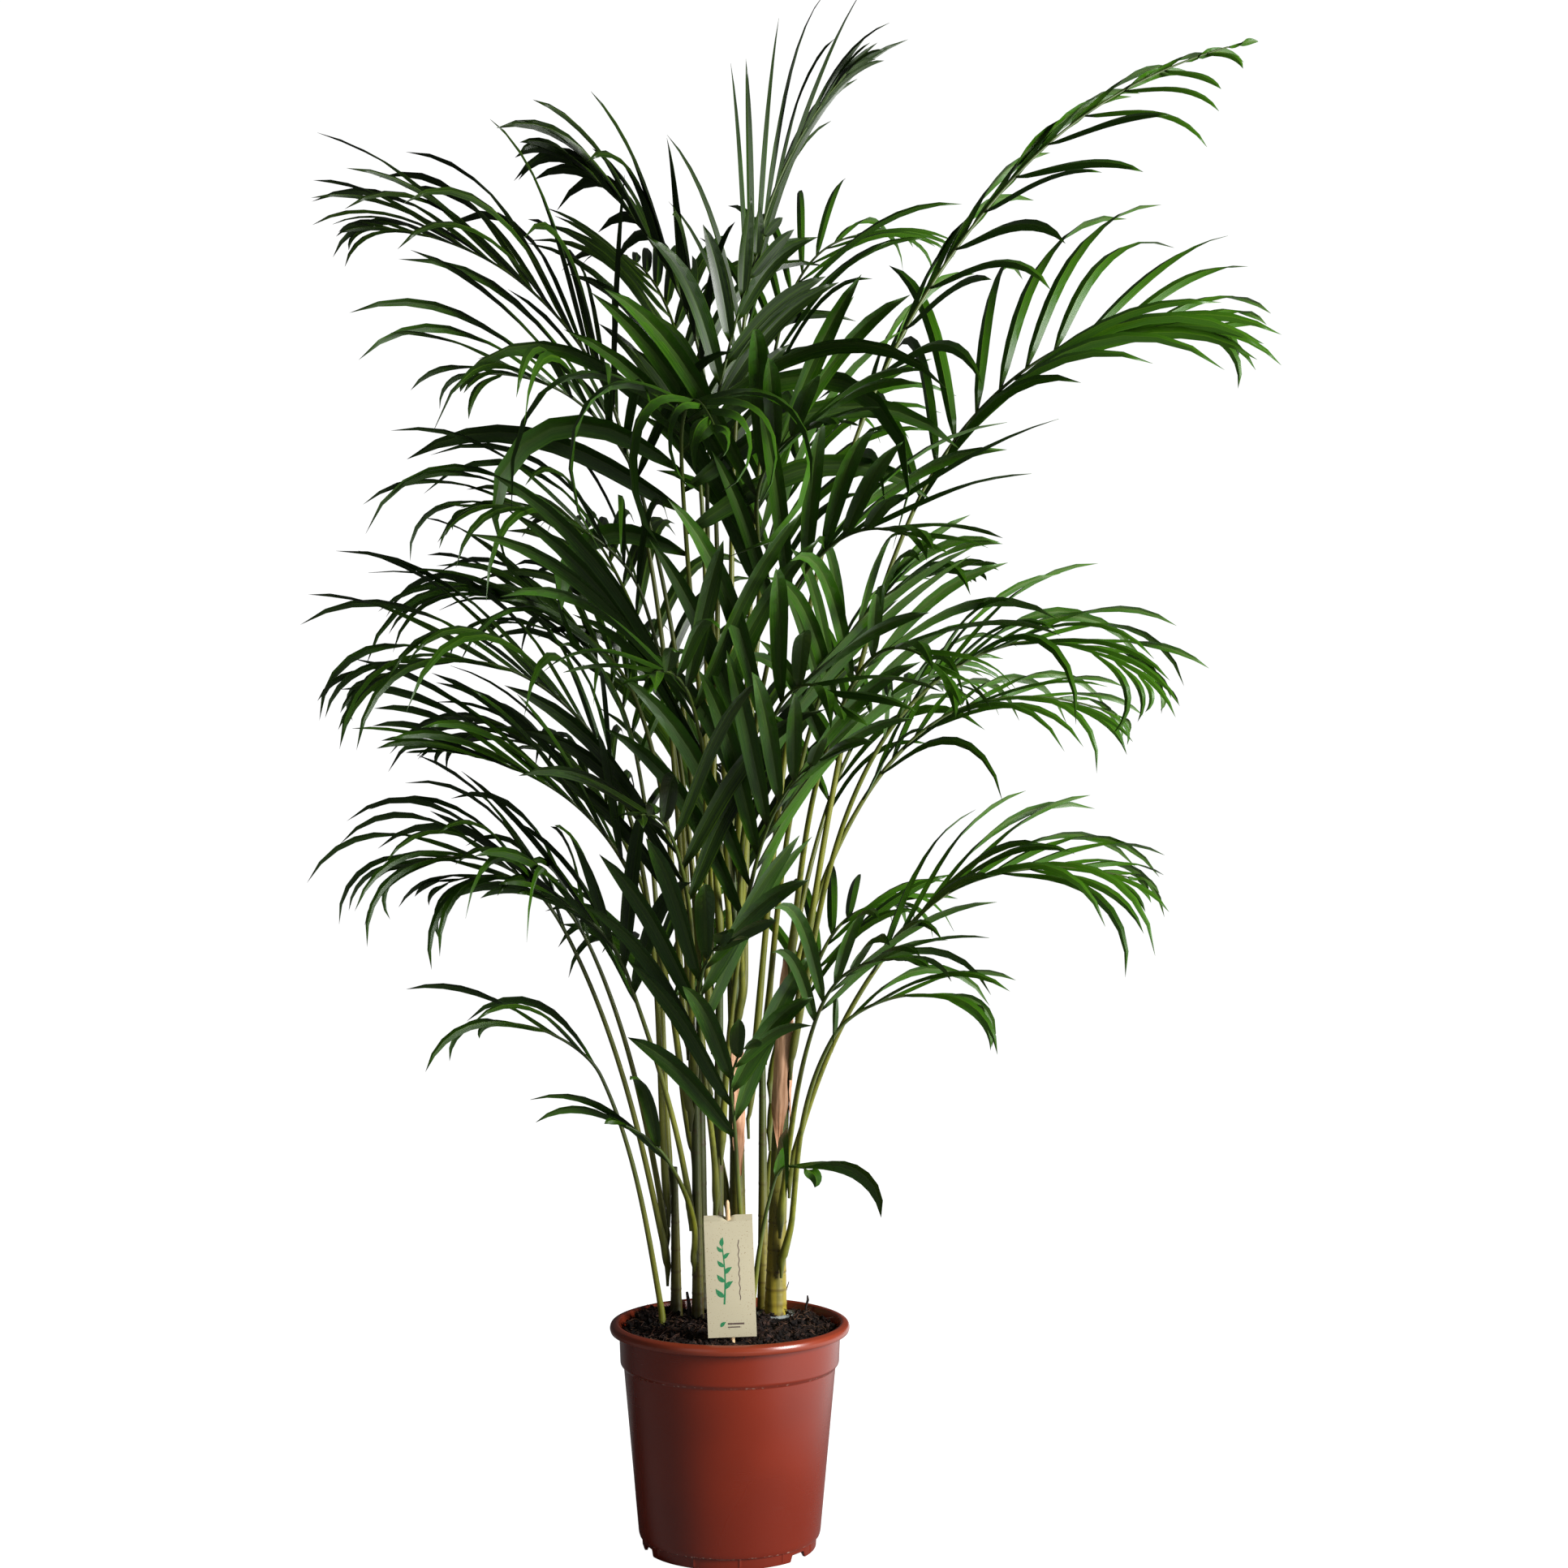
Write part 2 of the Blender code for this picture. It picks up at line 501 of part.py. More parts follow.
def ease_apart(lines):
    """Stalks that would run through each other or a cane are bent aside, a little at a time, as they grow."""
    obstacles = standing_obstacles()
    owner = np.concatenate([np.full(len(line), i) for i, line in enumerate(lines)] + [np.full(len(obstacles), -1)])
    radius = np.concatenate([stalk_radius(np.linspace(0, 1, len(line))) for line in lines] + [obstacles[:, 3]])
    freedom = [np.clip((np.arange(len(line)) * SAMPLE_STEP - BEDDED_LENGTH * 0.5) / 0.05, 0, 1) for line in lines]
    freedom = np.concatenate(freedom + [np.zeros(len(obstacles))])[:, None]
    drawn = np.concatenate(lines + [obstacles[:, :3]])
    points, shift = drawn, np.zeros_like(drawn)
    starts = np.cumsum([0] + [len(line) for line in lines])
    for turn in range(EASING_TURNS):
        if turn % PAIRS_GOOD_FOR == 0:
            pairs = near_pairs(points, owner)
        first, second = pairs[:, 0], pairs[:, 1]
        apart = points[first] - points[second]
        distance = np.maximum(np.linalg.norm(apart, axis=1), 1e-6)
        push = np.maximum(radius[first] + radius[second] + STALK_CLEARANCE - distance, 0)
        step = apart / distance[:, None] * push[:, None] * 0.5
        moves = np.zeros_like(points)
        weight = np.zeros(len(points))
        for index, sign in ((first, 1), (second, -1)):
            np.add.at(moves, index, sign * step)
            np.add.at(weight, index, push > 0)
        moves /= np.maximum(weight, 1)[:, None]
        for start, end in zip(starts, starts[1:]):
            free = freedom[start:end]
            shift[start:end] += EASING_HASTE * evened(moves[start:end], PUSH_WINDOW) * free
            if turn % 3 == 0:
                shift[start:end] = evened(shift[start:end], SHIFT_WINDOW) * (free > 0)
        points = drawn + shift
    return [resampled(points[start:end], SAMPLE_STEP) for start, end in zip(starts, starts[1:])]


def near_pairs(points, owner):
    """Pairs of points on different stalks, or on a stalk and an obstacle, that are close enough to matter."""
    tree = KDTree(len(points))
    for i, point in enumerate(points):
        tree.insert(point, i)
    tree.balance()
    found = []
    for i in np.nonzero(owner >= 0)[0]:
        for _, j, _ in tree.find_range(points[i], NEAR_ENOUGH):
            if owner[j] != owner[i] and (owner[j] < 0 or j > i):
                found.append((i, j))
    return np.array(found, int).reshape(-1, 2)


class Leaf:
    """One leaflet: its two edges and keel at the widest place, and its point."""

    def __init__(self, foot, direction, along, length, width, bend):
        down = -UP - direction * direction.dot(-UP)
        down = down.normalized() if down.length > 1e-4 else along.copy()
        self.foot = foot
        self.direction = direction
        root = (foot[0] + foot[1] + foot[2] + foot[3]) / 4
        self.middle = self.place(root, direction, down, length, bend, LEAFLET_WIDEST_AT)
        self.tip = self.place(root, direction, down, length, bend, 1.0)
        heading = (self.tip - root).normalized()
        wide = (along - heading * along.dot(heading)).normalized()
        under = 1 if direction.cross(along).dot(foot[3] - foot[0]) > 0 else -1
        keel = heading.cross(wide).normalized() * under
        self.back = self.middle - wide * width / 2
        self.front = self.middle + wide * width / 2
        self.keel = self.middle + keel * LEAFLET_THICKNESS

    @staticmethod
    def place(root, direction, down, length, bend, share):
        """A point on the leaflet's midline, which bends down more and more towards its tip."""
        turn = bend * share**2
        if turn < 1e-3:
            return root + direction * length * share
        reach = math.sin(turn) / turn
        fall = (1 - math.cos(turn)) / turn
        return root + (direction * reach + down * fall) * length * share

    def probe(self):
        """A slightly fatter copy of the leaflet, a little way off its foot, to test what it would touch."""
        grow = LEAFLET_CLEARANCE
        thick = (self.keel - self.middle).normalized() * grow
        wide = (self.front - self.back).normalized() * grow
        heading = (self.tip - self.middle).normalized() * grow
        clear = self.direction * FOOT_UNTESTED
        corners = [corner + clear for corner in self.foot]
        corners += [self.back - wide - thick, self.front + wide - thick, self.keel + thick]
        corners += [self.tip + heading - thick, self.tip + heading + thick]
        outer = [(4, 5, 7), (5, 6, 8), (5, 8, 7), (6, 4, 7), (6, 7, 8)]
        inner = [(2, 3, 6)]
        for a, b, c, d in ((0, 1, 5, 4), (1, 2, 6, 5), (3, 0, 4, 6)):
            inner += [(a, b, c), (a, c, d), (a, b, d), (b, c, d)]
        return corners, inner + outer, outer


class Crowd:
    """Everything grown so far, in boxes, so that a new leaflet can be tested against what is near it."""

    def __init__(self):
        self.trees = []
        self.owners = []
        self.lows = np.zeros((0, 3))
        self.highs = np.zeros((0, 3))

    def add(self, corners, faces, owner):
        array = np.array([tuple(c) for c in corners])
        self.trees.append(BVHTree.FromPolygons([tuple(c) for c in corners], faces))
        self.owners.append(owner)
        self.lows = np.vstack([self.lows, array.min(0)])
        self.highs = np.vstack([self.highs, array.max(0)])

    def touches(self, probe, stalk_name):
        """Whether the leaflet touches anything; only its outer part is tested against its own stalk."""
        corners, faces, outer = probe
        array = np.array([tuple(c) for c in corners])
        near = np.nonzero((self.lows <= array.max(0)).all(1) & (self.highs >= array.min(0)).all(1))[0]
        if not len(near):
            return False
        whole = BVHTree.FromPolygons([tuple(c) for c in corners], faces)
        for i in near:
            mine = self.owners[i] == stalk_name
            tree = BVHTree.FromPolygons([tuple(c) for c in corners], outer) if mine else whole
            if tree.overlap(self.trees[i]):
                return True
        return False


class Stalk:
    """A frond's stalk as rings of three corners: one on top and two below, right and left."""

    def __init__(self, name, frond, line, leafy_from):
        self.name = name
        self.frond = frond
        self.line = line
        length = (len(line) - 1) * np.linalg.norm(line[1] - line[0])
        bare = max(2, int(round(length * leafy_from / PETIOLE_RING_SPACING)))
        shares = list(np.linspace(0, leafy_from, bare + 1))
        shares += list(np.linspace(leafy_from, 1.0, frond.leaflets + 2))[1:]
        if frond.cane == SOIL:
            buried = (PLANTING_DEPTH + 0.010) / length
            shares = [0.0, buried] + [s for s in shares if s > buried + 0.02]
        self.shares = shares
        self.first_leafy = len(shares) - 1 - (frond.leaflets + 1)
        heading = Vector(line[-1] - line[0])
        heading.z = 0
        heading.normalize()
        roll, self.uneven = LEANS.get(name, (0, 0))
        self.sideways = Quaternion(heading, math.radians(roll)) @ heading.cross(UP)
        self.rings = [self.ring(share) for share in shares]

    def frame(self, share):
        """Centre, direction, right-hand side and upper side of the stalk at a share of its length."""
        at = share * (len(self.line) - 1)
        low = min(int(at), len(self.line) - 2)
        centre = Vector(self.line[low] + (self.line[low + 1] - self.line[low]) * (at - low))
        reach = 5
        before, after = self.line[max(low - reach, 0)], self.line[min(low + reach, len(self.line) - 1)]
        along = Vector(after - before).normalized()
        right = (self.sideways - along * self.sideways.dot(along)).normalized()
        return centre, along, right, right.cross(along).normalized()

    def ring(self, share):
        centre, _, right, above = self.frame(share)
        radius = stalk_radius(share)
        return [
            centre + above * radius,
            centre + (right * 0.87 - above * 0.5) * radius,
            centre - (right * 0.87 + above * 0.5) * radius,
        ]

    def body(self):
        """Corners and triangles of the bare stalk, to keep leaflets off it."""
        corners = [corner for ring in self.rings for corner in ring]
        faces = []
        for i in range(len(self.rings) - 1):
            for k in range(3):
                a, b = 3 * i + k, 3 * i + (k + 1) % 3
                faces += [(a, b, b + 3), (a, b + 3, a + 3)]
        return corners, faces

    def leaf(self, index, crowd):
        """The leaflet between two rings: at its natural angle if it fits there, or else turned aside a little."""
        frond = self.frond
        place = index / max(frond.leaflets - 1, 1)
        step = self.first_leafy + index
        share = (self.shares[step] + self.shares[step + 1]) / 2
        _, along, right, above = self.frame(share)
        side = 1 if index % 2 == 0 else -1
        fullness = math.sin(math.pi * (0.32 + 0.66 * place)) ** 1.1
        length = frond.length * REACH * (0.12 + 0.94 * fullness)
        width = frond.width * CM * (0.55 + 0.45 * fullness)
        sweep = math.radians(frond.sweep * (1 + side * self.uneven) * (1.12 - 0.55 * place))
        lift = math.radians(frond.lift * (1.0 - 0.5 * place))
        bend = math.radians(frond.droop * (0.75 + 0.35 * math.sin(2.1 * index)))
        corner = 1 if side > 0 else 2
        near, far = self.rings[step], self.rings[step + 1]
        foot = [near[0], far[0], far[corner], near[corner]]
        for shorter in (1.0, 0.9, 0.8, 0.65, 0.5, 0.35, 0.2):
            for turn in TURNS_ASIDE:
                tilt = lift + turn.real
                angle = sweep + turn.imag
                outward = right * side * math.cos(tilt) + above * math.sin(tilt)
                direction = (along * math.cos(angle) + outward * math.sin(angle)).normalized()
                leaf = Leaf(foot, direction, along, length * shorter, width, bend)
                probe = leaf.probe()
                if leaf.tip.z > SOIL_TOP and not crowd.touches(probe, self.name):
                    return leaf, probe, side
        return None, None, side


# How a leaflet may turn aside, as raised and swept angles, the smallest turns first.
TURNS_ASIDE = sorted(
    (complex(math.radians(lift), math.radians(sweep)) for lift in range(-42, 43, 6) for sweep in (-12, -6, 0, 6, 12)),
    key=lambda turn: (round(abs(turn), 6), turn.real, turn.imag),
)


def grow_fronds():
    """Stalks first, eased apart, then the leaflets of each in turn, each kept clear of all that is there."""
    routes = {name: frond_route(frond) for name, frond in FRONDS.items()}
    eased = ease_apart([line for line, _ in routes.values()])
    stalks = []
    for (name, (_, leafy_from)), line in zip(routes.items(), eased):
        stalks.append(Stalk(name, FRONDS[name], line, leafy_from))
    crowd = Crowd()
    for stalk in stalks:
        crowd.add(*stalk.body(), stalk.name)
    for name, cane in CANES.items():
        shares = np.linspace(0, 1, 8)
        bm = tube([cane_axis(cane, s) for s in shares], [cane_radius(cane, s) + 0.0006 for s in shares], CANE_SIDES)
        crowd.add(*bmesh_body(bm), name)
    crowd.add(*bmesh_body(label_block()), "label")
    leaves = {}
    for stalk in sorted(stalks, key=lambda s: -s.frond.tip[2]):
        for index in range(stalk.frond.leaflets):
            leaf, probe, side = stalk.leaf(index, crowd)
            if leaf is not None:
                crowd.add(probe[0], probe[1], f"{stalk.name} leaf")
                leaves[stalk.name, index] = (leaf, side)
    return stalks, leaves


def bmesh_body(bm):
    """Corners and triangles of a bmesh, which is freed."""
    bmesh.ops.triangulate(bm, faces=bm.faces)
    bm.verts.index_update()
    corners = [v.co.copy() for v in bm.verts]
    faces = [tuple(v.index for v in face.verts) for face in bm.faces]
    bm.free()
    return corners, faces


def bulging_split(quad, hand):
    """A twisted four-sided face as two triangles, split so that it bulges outwards and can't cut its own body."""
    a, b, c, d = quad
    rises = (b.co - a.co).cross(c.co - a.co).dot(d.co - a.co) * hand
    return [(a, b, c), (a, c, d)] if rises > 0 else [(a, b, d), (b, c, d)]


def make_frond(stalk, leaves, material):
    """One closed body: the stalk, with a leaflet drawn out of every other side triangle of its leafy part."""
    bm = bmesh.new()
    rings = [[bm.verts.new(corner) for corner in ring] for ring in stalk.rings]
    bm.faces.new(rings[0])
    bm.faces.new(rings[-1])
    for i, (near, far) in enumerate(zip(rings, rings[1:])):
        index = i - stalk.first_leafy
        leaf, side = leaves.get((stalk.name, index), (None, 0))
        bm.faces.new((near[1], near[2], far[2], far[1]))
        for corner, hand in ((1, 1), (2, -1)):
            foot = (near[0], far[0], far[corner], near[corner])
            if leaf is None or side != hand:
                bm.faces.new(foot)
                continue
            back, front, keel, tip = (bm.verts.new(p) for p in (leaf.back, leaf.front, leaf.keel, leaf.tip))
            faces = [(foot[2], foot[3], keel), (back, front, tip), (front, keel, tip), (keel, back, tip)]
            faces += bulging_split((foot[0], foot[1], front, back), hand)
            faces += bulging_split((foot[1], foot[2], keel, front), hand)
            faces += bulging_split((foot[3], foot[0], back, keel), hand)
            for corners in faces:
                bm.faces.new(corners)
    bmesh.ops.triangulate(bm, faces=bm.faces)
    return add_object(stalk.name, bm, material)


# ---------------------------------------------------------------- label


def peg_line():
    """Foot and head of the peg's axis."""
    lean = Vector((-math.sin(LABEL_LEAN), 0, math.cos(LABEL_LEAN)))
    at_soil = Vector((0.0045, -(SOIL_RADIUS - LABEL_FROM_RIM), 0))
    at_soil.z = soil_height(at_soil.x, at_soil.y)
    rise = LABEL_ABOVE_SOIL + LABEL_HEIGHT + PEG_ABOVE_CARD
    return at_soil - lean * PEG_BURIED, at_soil + lean * rise


def card_frame():
    """Middle of the card's lower edge, and its across, front-to-back and up directions."""
    foot, head = peg_line()
    up = (head - foot).normalized()
    across = Vector((0, 1, 0)).cross(up).normalized()
    return foot + up * (PEG_BURIED + LABEL_ABOVE_SOIL), across, up.cross(across), up


def card_box(width, depth, low, high):
    """A box about the peg's axis, as a bmesh."""
    origin, across, through, up = card_frame()
    bm = bmesh.new()
    made = bmesh.ops.create_cube(bm, size=1.0)["verts"]
    for v in made:
        u, t, s = v.co
        v.co = origin + across * (u * width) + through * (t * depth) + up * (low + (s + 0.5) * (high - low))
    return bm


def label_block():
    return card_box(LABEL_WIDTH + 0.003, LABEL_DEPTH + 0.003, -LABEL_ABOVE_SOIL, LABEL_HEIGHT + PEG_ABOVE_CARD)


def make_label(card_material, peg_material):
    """A card folded over its peg: open below and at both sides, with a hole in the fold for the peg."""
    card = add_object("label_card", card_box(LABEL_WIDTH, LABEL_DEPTH, 0, LABEL_HEIGHT), card_material)
    inside = cutter("card_inside", card_box(LABEL_WIDTH + 0.01, LABEL_DEPTH - 2 * CARD, -0.01, LABEL_HEIGHT - CARD))
    foot, head = peg_line()
    slot = cutter("card_slot", tube([foot.lerp(head, 0.5), head], [PEG_RADIUS + SEAT_GAP * 1.5] * 2, 10))
    cut(card, [inside, slot])
    up = (head - foot).normalized()
    points = [foot, foot + up * 0.012, head - up * 0.006, head]
    radii = [PEG_RADIUS * 0.35, PEG_RADIUS, PEG_RADIUS, PEG_RADIUS * 0.6]
    add_object("label_peg", tube(points, radii, 8), peg_material, 40)
    low = foot - up * 0.002
    return cutter("peg_hole", tube([low, low.lerp(head, 0.45)], [PEG_RADIUS + SEAT_GAP * 1.5] * 2, 8))


# ---------------------------------------------------------------- all of it


def main():
    clear_scene()
    terracotta = make_material("terracotta_plastic", (0.42, 0.085, 0.035), 0.42)
    peat = make_material("peat", (0.022, 0.012, 0.008), 0.95)
    cane_skin = make_material("cane_skin", (0.20, 0.21, 0.035), 0.45)
    leaf_green = make_material("leaf_green", (0.035, 0.11, 0.018), 0.38)
    plug_plastic = make_material("plug_plastic", (0.62, 0.66, 0.64), 0.35)
    card = make_material("kraft_card", (0.68, 0.60, 0.44), 0.85)
    birch = make_material("birch", (0.70, 0.52, 0.34), 0.6)

    make_pot(terracotta)
    holes = [make_collar(plug_plastic), make_label(card, birch)]
    for name, cane in CANES.items():
        make_cane(name, cane, cane_skin)
        hole_radius = (cane_radius(cane, 0) + SEAT_GAP) / math.cos(math.pi / CANE_SIDES)
        holes.append(planting_hole(f"{name}_hole", cane_axis(cane, 0), hole_radius))
    stalks, leaves = grow_fronds()
    for stalk in stalks:
        make_frond(stalk, leaves, leaf_green)
        if stalk.frond.cane == SOIL:
            foot = Vector(stalk.line[0])
            holes.append(planting_hole(f"{stalk.name}_hole", foot, stalk_radius(0) + 0.001))
    make_soil(peat, holes)


main()
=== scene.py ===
"""The looks of a potted areca palm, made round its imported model.

Lengths are in metres unless a name says otherwise. Z is up, and the label faces -Y. The canes and fronds follow
routes drawn in centimetres above the soil, the ones that the solid model follows; every place that depends on the
pot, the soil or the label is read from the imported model's own boxes.
"""

import math
from collections import namedtuple

import bmesh
import bpy
import numpy as np
from mathutils import Matrix, Quaternion, Vector, noise
from mathutils.geometry import interpolate_bezier
from mathutils.kdtree import KDTree


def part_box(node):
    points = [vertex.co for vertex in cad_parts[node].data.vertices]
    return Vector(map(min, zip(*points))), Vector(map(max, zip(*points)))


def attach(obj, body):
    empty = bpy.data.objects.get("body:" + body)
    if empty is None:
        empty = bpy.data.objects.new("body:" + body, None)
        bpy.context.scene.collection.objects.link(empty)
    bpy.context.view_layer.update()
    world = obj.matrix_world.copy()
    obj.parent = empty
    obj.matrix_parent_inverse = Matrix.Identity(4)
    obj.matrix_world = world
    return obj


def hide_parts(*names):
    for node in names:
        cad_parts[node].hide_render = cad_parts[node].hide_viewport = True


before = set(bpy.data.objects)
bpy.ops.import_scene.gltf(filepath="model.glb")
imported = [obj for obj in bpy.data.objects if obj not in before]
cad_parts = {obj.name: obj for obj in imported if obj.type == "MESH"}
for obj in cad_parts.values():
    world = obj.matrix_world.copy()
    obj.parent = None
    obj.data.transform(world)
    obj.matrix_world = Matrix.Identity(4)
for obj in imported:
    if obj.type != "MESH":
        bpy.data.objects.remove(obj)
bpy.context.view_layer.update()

MM = 0.001
CM = 0.01
UP = Vector((0, 0, 1))

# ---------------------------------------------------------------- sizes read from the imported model

_, POT_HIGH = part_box("pot")
_, SOIL_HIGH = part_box("soil")
PEG_LOW, PEG_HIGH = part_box("label_peg")
COLLAR_LOW, COLLAR_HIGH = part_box("plug_collar")

POT_HEIGHT = POT_HIGH.z
RIM_RADIUS = POT_HIGH.x
SOIL_TOP = SOIL_HIGH.z
SOIL_RADIUS = SOIL_HIGH.x
DRAWN_SOIL_RADIUS_CM = 10.9
ACROSS_SOIL = SOIL_RADIUS / DRAWN_SOIL_RADIUS_CM

# ---------------------------------------------------------------- the plant's routes

STALK_RADIUS = 3.3 * MM
STALK_TIP_SHARE = 0.26
STALK_CLEARANCE = 3.4 * MM
SAMPLE_STEP = 5 * MM
BEDDED_LENGTH = 45 * MM
PLANTING_DEPTH = 40 * MM
SOIL = "soil"

# How stalks that would cross are eased apart: from how near, in how many turns, how often their neighbours are
# looked up again, over how many points a push and a shift are evened out, and how far a turn goes.
NEAR_ENOUGH = 26 * MM
EASING_TURNS = 300
PAIRS_GOOD_FOR = 6
PUSH_WINDOW = 15
SHIFT_WINDOW = 9
EASING_HASTE = 2.5

Cane = namedtuple("Cane", "base top radius")
Frond = namedtuple("Frond", "cane height knee shoulder tip leaflets length width sweep lift droop")

# Each cane: where its foot and its top are (x, y across the soil, then x, y, z above it), and its radius.
CANES = {
    "cane_1": Cane((4.6, 4.8), (6.0, 3.6, 37.0), 1.10),
    "cane_2": Cane((3.3, 8.2), (3.2, 8.0, 27.0), 0.60),
    "cane_3": Cane((-3.3, 2.4), (-3.7, 2.0, 29.0), 0.62),
    "cane_4": Cane((-5.6, 4.6), (-5.8, 4.2, 15.0), 0.62),
    "cane_5": Cane((-1.2, 0.2), (-1.0, -0.8, 36.0), 0.66),
    "cane_6": Cane((0.9, 3.4), (0.2, 2.4, 48.0), 0.84),
    "cane_7": Cane((-3.0, 7.8), (-3.4, 8.4, 33.0), 0.66),
    "cane_8": Cane((0.2, 8.6), (0.4, 9.0, 34.0), 0.56),
}

